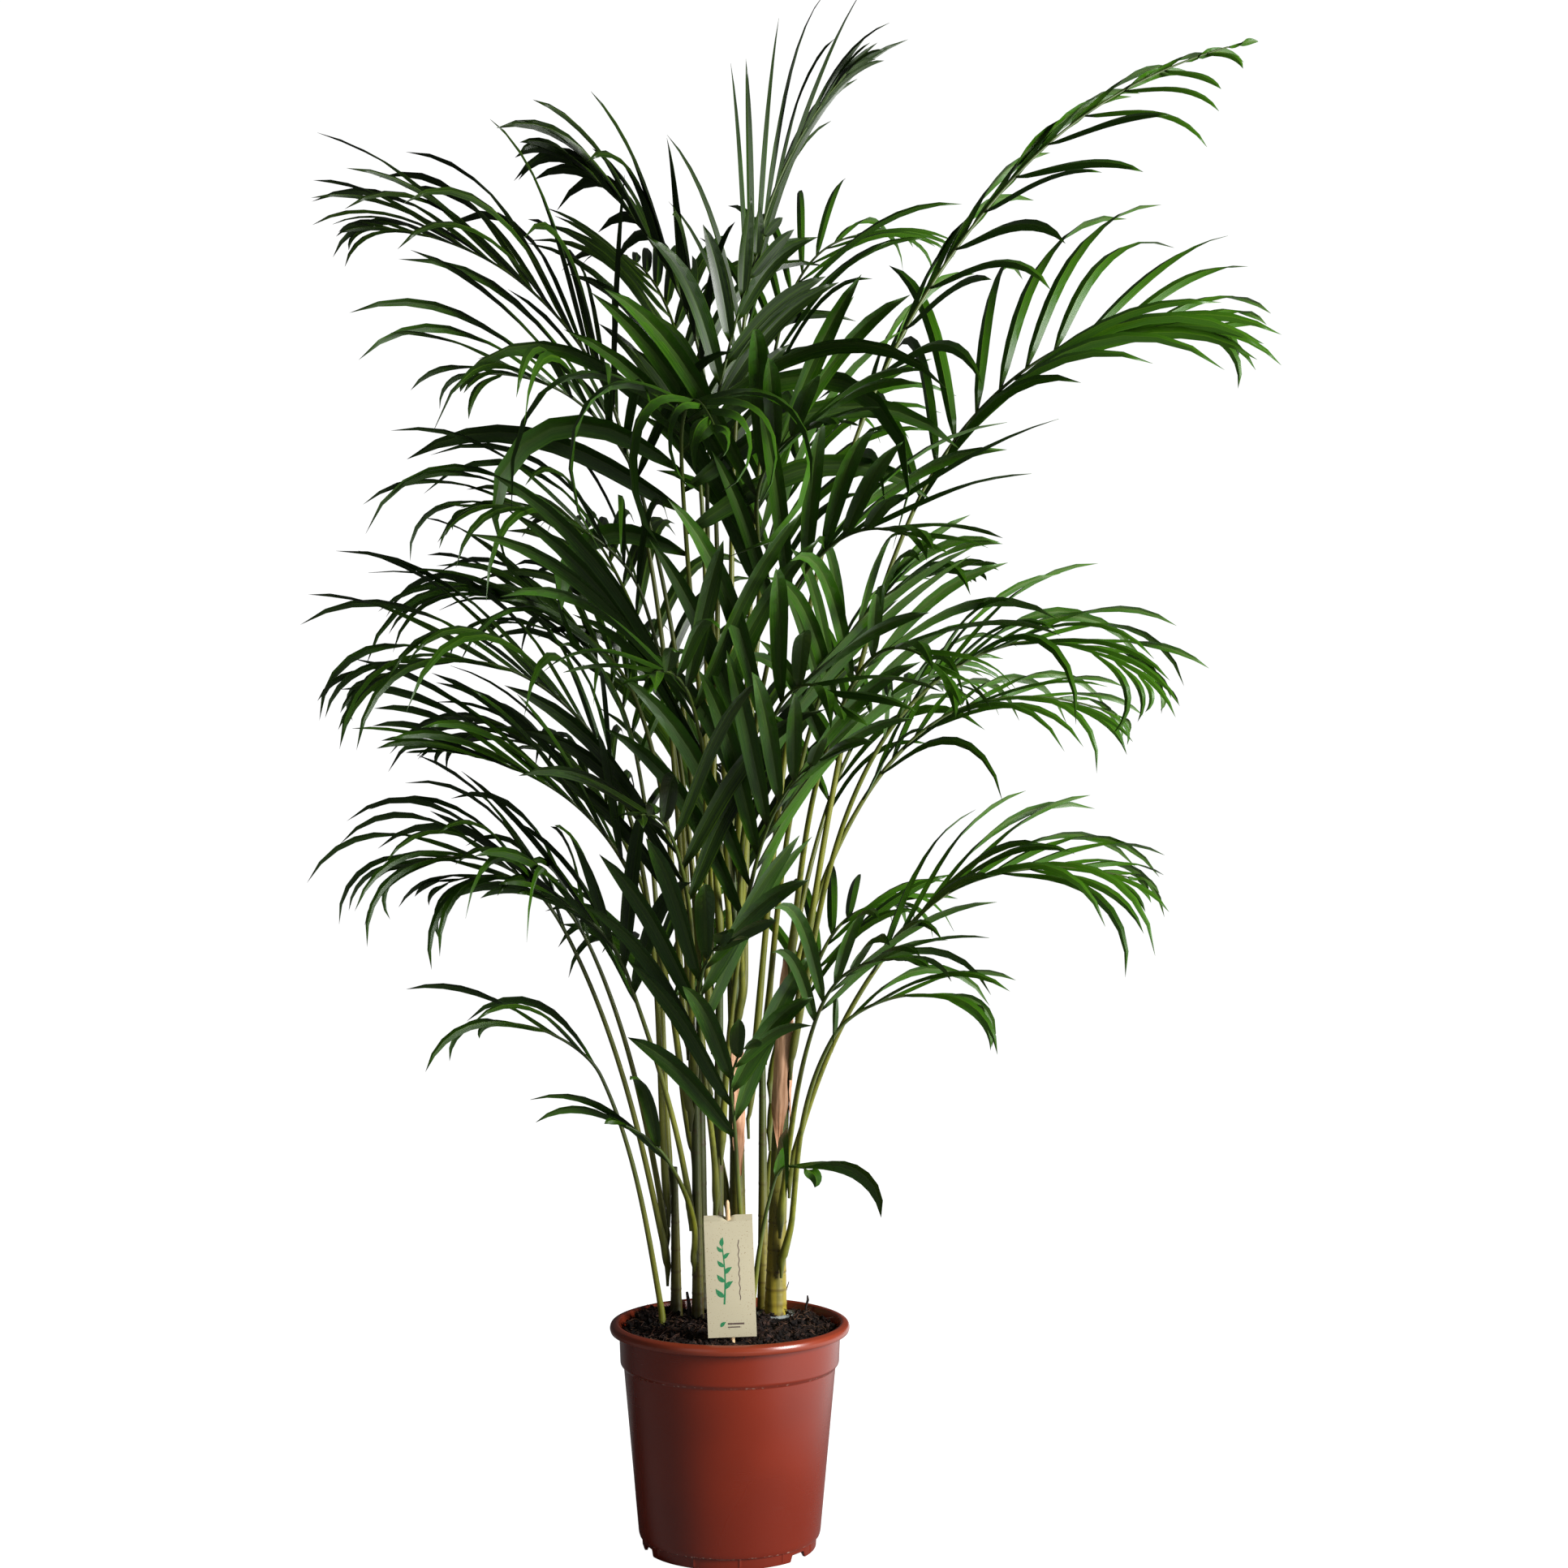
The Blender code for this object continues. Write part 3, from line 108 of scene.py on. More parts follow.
# Each frond: the cane that it grows from (or the soil) and how far up, then the knee, the shoulder and the tip
# of its midline, all in centimetres. Then its number of leaflets, the longest one and its width in centimetres,
# and in degrees the angle they make with the midline, how far they are raised, and how far they bend down.
FRONDS = {
    # Right-hand side, from the top down.
    "frond_01": Frond("cane_6", 18, (11.8, 0, 86), (29.6, 3, 116), (50.7, 6, 129), 26, 20, 2.0, 44, 14, 40),
    "frond_02": Frond("cane_1", 30, (18.3, 0, 81), (31.6, 0, 96.5), (48.6, 0, 99.4), 24, 27, 2.1, 32, 20, 60),
    "frond_03": Frond("cane_1", 24, (15.0, -6, 58), (27.4, -8, 67.3), (40.3, -10, 63.6), 24, 20, 1.5, 30, 24, 80),
    "frond_04": Frond("cane_2", 21, (13.4, 6, 52), (24.3, 8, 61.8), (39.7, 10, 61), 20, 19, 1.4, 30, 22, 75),
    "frond_05": Frond("cane_1", 12, (14.1, -2, 35), (23.3, -2, 43.9), (39.3, -2, 44.6), 22, 21, 1.6, 28, 26, 70),
    "frond_06": Frond("cane_1", 4, (10.2, -8, 29.5), (15.7, -9, 33.2), (22.7, -10, 33), 8, 16, 1.4, 26, 16, 75),
    "frond_07": Frond(SOIL, (2.2, -2), (4.6, -4.8, 15.4), (5.6, -5.3, 16.5), (7.4, -6, 16.4), 3, 13, 2.6, 14, 6, 120),
    "frond_08": Frond("cane_8", 32, (3.9, 14, 96), (8.9, 22, 111), (18.4, 30, 115), 20, 20, 1.2, 34, 26, 75),
    "frond_09": Frond("cane_6", 36, (4.8, -8, 69), (10.6, -16, 76.6), (17.5, -26, 75.5), 16, 23, 2.1, 30, 42, 35),
    "frond_10": Frond("cane_2", 25, (8.2, -3, 60), (14.0, -7, 71), (22.2, -12, 74), 18, 18, 1.6, 30, 30, 55),
    "frond_11": Frond("cane_6", 28, (2.0, -13, 52), (5.8, -21, 62), (10.5, -32, 60.5), 14, 24, 2.1, 30, 40, 35),
    "frond_12": Frond("cane_1", 34, (9.4, -10, 57), (14.3, -18, 66), (20.4, -28, 62.5), 14, 20, 1.9, 30, 32, 50),
    "frond_13": Frond("cane_1", 8, (8.4, -9, 31), (11.4, -13, 36), (16.5, -17, 37.5), 12, 17, 1.7, 28, 20, 60),
    # Top.
    "frond_14": Frond("cane_6", 48, (0.9, 2, 95), (4.1, 0, 112), (11.5, -2, 124), 22, 24, 1.2, 20, 14, 40),
    "frond_15": Frond("cane_5", 31, (-2.5, -2, 94), (-7.9, -3, 107.5), (-17.0, -4, 116), 22, 20, 2.0, 26, 30, 70),
    "frond_16": Frond("cane_6", 41, (-2.0, -7, 84), (0.2, -9, 96), (3.5, -11, 106), 12, 15, 2.0, 26, 10, 30),
    "frond_17": Frond("cane_5", 36, (-3.9, -9, 76), (-4.0, -18, 87), (-0.5, -39, 84), 18, 26, 2.5, 60, 26, 150),
    # Left-hand side, from the top down.
    "frond_18": Frond("cane_7", 26, (-11.2, 2, 90), (-20.9, 1, 104), (-34.5, -1, 109), 26, 27, 1.7, 30, 36, 60),
    "frond_19": Frond("cane_5", 27, (-8.4, -9, 82), (-14.2, -15, 89.8), (-22.5, -22, 91), 18, 24, 1.5, 32, 30, 60),
    "frond_20": Frond("cane_5", 21, (-8.4, -5, 72), (-14.6, -9, 78.6), (-24.0, -13, 80), 18, 23, 1.2, 32, 26, 70),
    "frond_21": Frond("cane_3", 26, (-9.5, 5, 62), (-17, 8, 70.5), (-30.0, 11, 74), 22, 22, 1.4, 30, 28, 70),
    "frond_22": Frond("cane_4", 9, (-11.0, -2, 54), (-21.0, -5, 64.8), (-34.0, -8, 64), 22, 27, 1.6, 28, 28, 70),
    "frond_23": Frond("cane_3", 19, (-9.5, -7, 45), (-16, -11, 53), (-26.5, -13, 57), 18, 24, 1.9, 24, 22, 30),
    "frond_24": Frond("cane_4", 3, (-16.0, -3, 39), (-22.5, -5, 46), (-32.0, -7, 45.5), 18, 21, 1.3, 30, 24, 75),
    "frond_25": Frond("cane_4", 6, (-14.2, 5, 37), (-19.5, 3, 43.6), (-28.0, 0, 44), 14, 20, 1.5, 30, 22, 70),
    "frond_26": Frond(SOIL, (-7, 1.5), (-12.6, -3, 25), (-16.8, -4, 29), (-22.5, -5, 30.5), 6, 17, 1.5, 18, 10, 70),
    "frond_27": Frond("cane_3", 5, (-5.8, -6, 17), (-7.6, -8, 19.5), (-9.8, -9, 21), 4, 17, 1.7, 24, 12, 55),
    "frond_28": Frond("cane_4", 12, (-9.6, 7, 56), (-14.6, 11, 67), (-24.5, 17, 71), 18, 20, 1.4, 32, 26, 70),
    "frond_29": Frond("cane_3", 9, (-8.9, -4, 32), (-11.8, -7, 39), (-17.5, -10, 43), 12, 22, 2.1, 26, 20, 40),
    # Front and middle.
    "frond_30": Frond(SOIL, (1.6, -3.2), (0.7, -8, 20), (0.4, -11, 25.5), (1.6, -15, 29), 8, 17, 2.4, 30, 30, 30),
    "frond_31": Frond("cane_5", 11, (-2.6, -9, 29), (-2.3, -14, 36), (0.2, -21, 39.5), 10, 20, 2.5, 30, 40, 30),
    "frond_32": Frond("cane_3", 23, (-3.6, -8, 41), (-5.2, -15, 49), (-7.5, -25, 51), 12, 23, 2.2, 32, 40, 35),
    "frond_33": Frond("cane_6", 32, (-1.8, -11, 54), (-3.6, -19, 62.5), (-6.5, -32, 63), 16, 27, 2.2, 30, 45, 30),
    "frond_34": Frond("cane_5", 16, (1.6, -8, 41), (4.4, -15, 51), (8.6, -24, 56), 14, 25, 2.2, 28, 45, 25),
    "frond_35": Frond("cane_6", 44, (3.0, -3.6, 73), (3.2, -13, 82.5), (8.8, -26, 86), 16, 28, 2.3, 28, 45, 30),
    # Back.
    "frond_36": Frond("cane_7", 20, (-6.5, 12, 60), (-13.5, 21, 78), (-20.0, 37, 84), 20, 20, 1.7, 32, 32, 55),
    "frond_37": Frond("cane_8", 28, (3.0, 13, 72), (7.5, 22, 90), (13.0, 38, 96), 20, 21, 1.7, 32, 32, 55),
    "frond_38": Frond("cane_7", 31, (-3.2, 10, 84), (-6.5, 16, 103), (-13.0, 31, 113), 22, 22, 1.8, 30, 34, 50),
    "frond_39": Frond("cane_2", 16, (9.5, 12, 50), (16.5, 22, 63), (25.5, 36, 64), 18, 18, 1.6, 32, 30, 65),
    "frond_40": Frond("cane_7", 14, (-10.5, 12, 46), (-19.5, 19, 57), (-31.0, 26, 58), 20, 20, 1.7, 30, 30, 65),
    "frond_41": Frond("cane_8", 15, (-0.6, 15, 42), (-1.2, 25, 54), (-3.0, 41, 55), 20, 27, 2.1, 28, 45, 35),
    "frond_42": Frond("cane_2", 10, (7.5, 14, 31), (12.0, 22, 39), (19.0, 31, 40), 14, 18, 1.6, 32, 26, 65),
    "frond_43": Frond("cane_8", 8, (-5.4, 15, 28), (-9.0, 24, 35.5), (-13.5, 34, 36), 14, 20, 1.8, 30, 30, 55),
}


def soil_point(x, y):
    """A place on the soil, from centimetres across it as drawn."""
    return Vector((x * ACROSS_SOIL, y * ACROSS_SOIL, SOIL_TOP))


def air_point(x, y, z):
    """A place above the soil, from centimetres as drawn."""
    return Vector((x * CM, y * CM, SOIL_TOP + z * CM))


def cane_axis(cane, share):
    """A point on a cane's axis: share 0 is the soil's surface and 1 the cane's top."""
    x, y = cane.base
    top_x, top_y, height = cane.top
    foot = soil_point(x, y)
    head = Vector((foot.x + (top_x - x) * CM, foot.y + (top_y - y) * CM, SOIL_TOP + height * CM))
    if share < 0:
        return foot - UP * PLANTING_DEPTH * -share
    bow = Vector((head.x - foot.x, head.y - foot.y, 0)) * (share * share - share) * 0.6
    return foot.lerp(head, share) + bow


def cane_radius(cane, share):
    """A cane swells at its foot and is a little over half as thick at its top."""
    foot_swell = 0.10 * max(0.0, 1 - abs(share) * 8)
    return cane.radius * CM * (1.0 - 0.42 * max(share, 0.0) + foot_swell - 0.05)


def resampled(line, step):
    """The same line with points evenly spaced, about a step apart."""
    along = np.concatenate([[0], np.cumsum(np.linalg.norm(np.diff(line, axis=0), axis=1))])
    count = max(8, int(round(along[-1] / step)) + 1)
    at = np.linspace(0, along[-1], count)
    return np.stack([np.interp(at, along, line[:, k]) for k in range(3)], axis=1)


def smooth_route(knots, first_direction):
    """Points about a sample step apart on a smooth curve through the knots."""
    chords = [(b - a).length for a, b in zip(knots, knots[1:])]
    tangents = [first_direction.normalized()]
    for i in range(1, len(knots) - 1):
        before = (knots[i] - knots[i - 1]) / chords[i - 1] ** 0.5
        after = (knots[i + 1] - knots[i]) / chords[i] ** 0.5
        tangents.append((before + after).normalized())
    last = (knots[-1] - knots[-2]).normalized()
    tangents.append((2 * last - tangents[-1]).normalized())
    dense = []
    for i, chord in enumerate(chords):
        start, end = knots[i], knots[i + 1]
        reach = chord / 3
        dense += interpolate_bezier(start, start + tangents[i] * reach, end - tangents[i + 1] * reach, end, 48)[:-1]
    dense.append(knots[-1])
    return resampled(np.array([tuple(p) for p in dense]), SAMPLE_STEP)


def stalk_radius(share):
    """Radius of a frond's stalk: nearly even along the petiole, then thin towards the tip."""
    return STALK_RADIUS * (1 - (1 - STALK_TIP_SHARE) * share**1.4)


def frond_route(frond):
    """The midline of a frond, and the share of it where the leaflets begin."""
    knee, shoulder, tip = (air_point(*p) for p in (frond.knee, frond.shoulder, frond.tip))
    if frond.cane == SOIL:
        root = soil_point(*frond.height) - UP * PLANTING_DEPTH
        bed = root + UP * (PLANTING_DEPTH + 12 * MM)
        knots, first = [root, bed, knee, shoulder, tip], UP
    else:
        cane = CANES[frond.cane]
        share = frond.height / cane.top[2]
        axis_point = cane_axis(cane, min(share, 1.0))
        along = (cane_axis(cane, 1.0) - cane_axis(cane, 0.6)).normalized()
        if share >= 1.0:
            root = axis_point + along * 0.8 * MM
        else:
            level = knee - axis_point
            level = (level - along * level.dot(along)).normalized()
            root = axis_point + level * (cane_radius(cane, share) + stalk_radius(0) + 1.2 * MM)
        bed = root + along * BEDDED_LENGTH + (knee - root).normalized() * 4 * MM
        knots, first = [root, bed, knee, shoulder, tip], along
    line = smooth_route(knots, first)
    gaps = np.linalg.norm(line - np.array(tuple(knee)), axis=1)
    return line, int(gaps.argmin()) / (len(line) - 1)


def standing_obstacles():
    """Points with radii that stalks keep clear of: the canes and the label on its peg."""
    found = []
    for cane in CANES.values():
        for share in np.linspace(0, 1, 60):
            found.append((*cane_axis(cane, share), cane_radius(cane, share)))
    foot, head = peg_line()
    for share in np.linspace(0, 1, 30):
        found.append((*foot.lerp(head, share), PEG_RADIUS + 4 * MM))
    return np.array(found)


def near_pairs(points, owner):
    """Pairs of points on different stalks, or on a stalk and an obstacle, that are close enough to matter."""
    tree = KDTree(len(points))
    for i, point in enumerate(points):
        tree.insert(point, i)
    tree.balance()
    found = []
    for i in np.nonzero(owner >= 0)[0]:
        for _, j, _ in tree.find_range(points[i], NEAR_ENOUGH):
            if owner[j] != owner[i] and (owner[j] < 0 or j > i):
                found.append((i, j))
    return np.array(found, int).reshape(-1, 2)


def evened(values, width):
    """Rows smoothed along a stalk by a bell-shaped window."""
    window = np.hanning(width + 2)[1:-1]
    padded = np.pad(values, ((width // 2, width // 2), (0, 0)), mode="edge")
    return np.stack([np.convolve(padded[:, k], window / window.sum(), mode="valid") for k in range(3)], axis=1)


def ease_apart(lines):
    """Stalks that would run through each other or a cane are bent aside, a little at a time, as they grow."""
    obstacles = standing_obstacles()
    owner = np.concatenate([np.full(len(line), i) for i, line in enumerate(lines)] + [np.full(len(obstacles), -1)])
    radius = np.concatenate([stalk_radius(np.linspace(0, 1, len(line))) for line in lines] + [obstacles[:, 3]])
    freedom = [np.clip((np.arange(len(line)) * SAMPLE_STEP - BEDDED_LENGTH * 0.5) / 0.05, 0, 1) for line in lines]
    freedom = np.concatenate(freedom + [np.zeros(len(obstacles))])[:, None]
    drawn = np.concatenate(lines + [obstacles[:, :3]])
    points, shift = drawn, np.zeros_like(drawn)
    starts = np.cumsum([0] + [len(line) for line in lines])
    for turn in range(EASING_TURNS):
        if turn % PAIRS_GOOD_FOR == 0:
            pairs = near_pairs(points, owner)
        first, second = pairs[:, 0], pairs[:, 1]
        apart = points[first] - points[second]
        distance = np.maximum(np.linalg.norm(apart, axis=1), 1e-6)
        push = np.maximum(radius[first] + radius[second] + STALK_CLEARANCE - distance, 0)
        step = apart / distance[:, None] * push[:, None] * 0.5
        moves = np.zeros_like(points)
        weight = np.zeros(len(points))
        for index, sign in ((first, 1), (second, -1)):
            np.add.at(moves, index, sign * step)
            np.add.at(weight, index, push > 0)
        moves /= np.maximum(weight, 1)[:, None]
        for start, end in zip(starts, starts[1:]):
            free = freedom[start:end]
            shift[start:end] += EASING_HASTE * evened(moves[start:end], PUSH_WINDOW) * free
            if turn % 3 == 0:
                shift[start:end] = evened(shift[start:end], SHIFT_WINDOW) * (free > 0)
        points = drawn + shift
    return [resampled(points[start:end], SAMPLE_STEP) for start, end in zip(starts, starts[1:])]


# ---------------------------------------------------------------- the label's places

PEG_RADIUS = 2.2 * MM
LABEL_LEAN = math.radians(2.2)
LABEL_WIDTH = 47 * MM
LABEL_HEIGHT = 117 * MM
LABEL_DEPTH = 8.5 * MM


def peg_line():
    """Foot and head of the peg's axis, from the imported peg's box."""
    lean = Vector((-math.sin(LABEL_LEAN), 0, math.cos(LABEL_LEAN)))
    length = (PEG_HIGH.z - PEG_LOW.z) / lean.z
    middle = (PEG_LOW + PEG_HIGH) / 2
    return middle - lean * length / 2, middle + lean * length / 2


# ---------------------------------------------------------------- mesh helpers


def object_from(name, vertices, faces, material, smooth=None):
    """A mesh object at the origin, its faces turned outwards; smooth is the sharpest angle it is smoothed over."""
    mesh = bpy.data.meshes.new(name)
    mesh.from_pydata([tuple(v) for v in vertices], [], faces)
    finish_mesh(mesh, smooth)
    mesh.materials.append(material)
    obj = bpy.data.objects.new(name, mesh)
    bpy.context.scene.collection.objects.link(obj)
    return obj


def finish_mesh(mesh, smooth):
    """Turns a mesh's faces outwards and, given an angle in degrees, smooths it up to edges sharper than that."""
    bm = bmesh.new()
    bm.from_mesh(mesh)
    bmesh.ops.recalc_face_normals(bm, faces=bm.faces)
    bm.to_mesh(mesh)
    bm.free()
    if smooth is not None:
        mesh.shade_smooth()
        mesh.set_sharp_from_angle(angle=math.radians(smooth))


def set_attribute(obj, name, values):
    """A number for each vertex, for the material to read."""
    attribute = obj.data.attributes.new(name, "FLOAT", "POINT")
    attribute.data.foreach_set("value", np.asarray(values, np.float32))


def ring_faces(rings, sides, closed_ends=True):
    """Faces of a tube of rings that each have the same number of corners."""
    faces = []
    for i in range(rings - 1):
        for k in range(sides):
            n = (k + 1) % sides
            faces.append((i * sides + k, i * sides + n, (i + 1) * sides + n, (i + 1) * sides + k))
    if closed_ends:
        faces.append(tuple(range(sides))[::-1])
        faces.append(tuple((rings - 1) * sides + k for k in range(sides)))
    return faces


def tube_corners(points, radii, sides):
    """Corners of a round tube along a route, its rings square to it."""
    corners = []
    across = Vector((1, 0, 0))
    for i, (centre, radius) in enumerate(zip(points, radii)):
        along = (points[min(i + 1, len(points) - 1)] - points[max(i - 1, 0)]).normalized()
        across = (across - along * across.dot(along)).normalized()
        other = along.cross(across)
        for k in range(sides):
            angle = 2 * math.pi * k / sides
            corners.append(centre + (across * math.cos(angle) + other * math.sin(angle)) * radius)
    return corners


def place(piece, node):
    """Puts a finished piece on the plant's one body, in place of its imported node."""
    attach(piece, "root")
    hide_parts(node)
    return piece


# ---------------------------------------------------------------- node helpers


class Wires:
    """Adds nodes to a tree, and plugs in each value as it goes: another node's output, or a plain value."""

    def __init__(self, tree):
        self.tree = tree

    def node(self, kind, inputs=(), **settings):
        """A new node with its settings, then its inputs by the names of their sockets."""
        made = self.tree.nodes.new(kind)
        for key, value in settings.items():
            setattr(made, key, value)
        for name, value in dict(inputs).items():
            self.plug(self.socket(made.inputs, name), value)
        return made

    @staticmethod
    def socket(sockets, name):
        """The socket in use with a name, or the one at a number."""
        if isinstance(name, int):
            return sockets[name]
        return next(s for s in sockets if s.name == name and s.enabled)

    def plug(self, socket, value):
        """Wires a node or socket into a socket, or sets its plain value."""
        if isinstance(value, bpy.types.Node):
            value = next(s for s in value.outputs if s.enabled)
        if isinstance(value, bpy.types.NodeSocket):
            self.tree.links.new(value, socket)
        else:
            socket.default_value = value

    def out(self, made, name):
        """A node's output by its name."""
        return self.socket(made.outputs, name)

    def math(self, operation, *values):
        """A calculation with plain numbers."""
        made = self.node("ShaderNodeMath", operation=operation)
        for socket, value in zip(made.inputs, values):
            self.plug(socket, value)
        return made.outputs[0]

    def vector(self, operation, *values):
        """A vector calculation; a scale's factor and a dot product's result are plain numbers."""
        made = self.node("ShaderNodeVectorMath", operation=operation)
        sockets = (made.inputs[0], made.inputs["Scale"]) if operation == "SCALE" else made.inputs
        for socket, value in zip(sockets, values):
            self.plug(socket, value)
        return made.outputs["Value" if operation in ("DOT_PRODUCT", "LENGTH") else "Vector"]

    def mix(self, share, one, other):
        """A blend of two colours."""
        made = self.node("ShaderNodeMix", data_type="RGBA")
        for name, value in (("Factor", share), ("A", one), ("B", other)):
            self.plug(self.socket(made.inputs, name), value)
        return self.out(made, "Result")

    def curve(self, value, points):
        """A smooth curve through the points."""
        made = self.node("ShaderNodeFloatCurve", {"Value": value})
        line = made.mapping.curves[0]
        for _ in range(len(points) - 2):
            line.points.new(0.5, 0.5)
        for point, (x, y) in zip(line.points, points):
            point.location = (x, y)
        made.mapping.update()
        return made.outputs[0]

    def ramp(self, value, stops):
        """Plain numbers along a ramp, as (place, number) pairs."""
        made = self.node("ShaderNodeMapRange", {"Value": value}, interpolation_type="SMOOTHSTEP")
        (low, first), (high, last) = stops
        for name, number in (("From Min", low), ("From Max", high), ("To Min", first), ("To Max", last)):
            self.plug(self.socket(made.inputs, name), number)
        return made.outputs[0]


def new_material(name):
    """A material with its Principled shader and a Wires for its nodes."""
    material = bpy.data.materials.new(name)
    material.use_nodes = True
    return material, material.node_tree.nodes["Principled BSDF"], Wires(material.node_tree)


def colour(red, green, blue):
    """An sRGB colour, 0 to 255, as the linear one that a socket takes."""

    def linear(value):
        value /= 255
        return value / 12.92 if value <= 0.04045 else ((value + 0.055) / 1.055) ** 2.4

    return (linear(red), linear(green), linear(blue), 1.0)


# ---------------------------------------------------------------- effects that several finishes share


def effect(name, inputs, outputs):
    """An empty shader node group with its sockets, a Wires for its nodes, and its input sockets as seen inside."""
    tree = bpy.data.node_groups.new(name, "ShaderNodeTree")
    for label, kind, value in inputs:
        socket = tree.interface.new_socket(label, in_out="INPUT", socket_type=f"NodeSocket{kind}")
        if value is not None:
            socket.default_value = value
    for label in outputs:
        tree.interface.new_socket(label, in_out="OUTPUT", socket_type="NodeSocketFloat")
    wires = Wires(tree)
    return tree, wires, wires.node("NodeGroupInput").outputs


def plant_grain():
    """Fine lengthwise lines, as in wood, rind or a dry sheath: their height, and where they show as colour."""
    inputs = (
        ("Place", "Vector", None),
        ("Lines per Metre", "Float", 240.0),
        ("Breaks per Metre", "Float", 14.0),
        ("Detail", "Float", 3.0),
        ("From", "Float", 0.4),
        ("To", "Float", 0.7),
        ("Amount", "Float", 1.0),
    )
    tree, wires, given = effect("lengthwise_grain", inputs, ("Height", "Mask"))
    fine, long = given["Lines per Metre"], given["Breaks per Metre"]
    scale = wires.node("ShaderNodeCombineXYZ", {"X": fine, "Y": fine, "Z": long}).outputs[0]
    stretched = wires.vector("MULTIPLY", given["Place"], scale)
    spread = {"Vector": stretched, "Scale": 1.0, "Detail": given["Detail"]}
    lines = wires.node("ShaderNodeTexNoise", spread).outputs["Fac"]
    shown = wires.ramp(lines, ((given["From"], 0.0), (given["To"], 1.0)))
    mask = wires.math("MULTIPLY", shown, given["Amount"])
    wires.node("NodeGroupOutput", {"Height": lines, "Mask": mask})
    return tree


def plant_patches():
    """Scattered patches, stains, flecks or dust: the cloud they come from, and how strongly they cover."""
    inputs = (
        ("Place", "Vector", None),
        ("Per Metre", "Float", 30.0),
        ("Detail", "Float", 3.0),
        ("From", "Float", 0.5),
        ("To", "Float", 0.7),
        ("Amount", "Float", 1.0),
    )
    tree, wires, given = effect("scattered_patches", inputs, ("Cloud", "Mask"))
    spread = {"Vector": given["Place"], "Scale": given["Per Metre"], "Detail": given["Detail"]}
    cloud = wires.node("ShaderNodeTexNoise", spread).outputs["Fac"]
    shown = wires.ramp(cloud, ((given["From"], 0.0), (given["To"], 1.0)))
    mask = wires.math("MULTIPLY", shown, given["Amount"])
    wires.node("NodeGroupOutput", {"Cloud": cloud, "Mask": mask})
    return tree


GRAIN = plant_grain()
PATCHES = plant_patches()


def grain_on(wires, where, lines, breaks, detail, span, amount=1.0):
    """The shared grain in a finish: its height, and its mask between two levels of that height."""
    values = {"Place": where, "Lines per Metre": lines, "Breaks per Metre": breaks, "Detail": detail}
    values.update({"From": span[0], "To": span[1], "Amount": amount})
    made = wires.node("ShaderNodeGroup", values, node_tree=GRAIN)
    return wires.out(made, "Height"), wires.out(made, "Mask")


def patches_on(wires, where, per_metre, detail, span, amount=1.0):
    """The shared patches in a finish: their cloud, and their mask between two levels of it."""
    values = {"Place": where, "Per Metre": per_metre, "Detail": detail}
    values.update({"From": span[0], "To": span[1], "Amount": amount})
    made = wires.node("ShaderNodeGroup", values, node_tree=PATCHES)
    return wires.out(made, "Cloud"), wires.out(made, "Mask")


def object_place(wires):
    """A place on the plant in metres, the same on every piece."""
    return wires.node("ShaderNodeTexCoord").outputs["Object"]


def raise_by(wires, shader, height, strength, distance):
    """Fine relief on a finish."""
    bump = wires.node("ShaderNodeBump", {"Strength": strength, "Distance": distance, "Height": height})
    wires.plug(shader.inputs["Normal"], bump.outputs["Normal"])


# ---------------------------------------------------------------- leaves: the finishes


LEAF_DEEP = colour(12, 29, 4)
LEAF_GREEN = colour(44, 86, 8)
LEAF_YOUNG = colour(98, 134, 30)
LEAF_UNDER = colour(70, 92, 38)
# A dark underside: painted shade for the shaded fronds.
LEAF_UNDER_PAINTED_SHADE = colour(22, 38, 10)
STREAKS_ACROSS = 17.0
VEINS_PER_STREAK = 2.6
STALK_YELLOW = colour(120, 122, 34)
STALK_GREEN = colour(56, 74, 18)
STALK_FOOT = colour(62, 70, 20)
STALK_SCAR = colour(78, 58, 24)


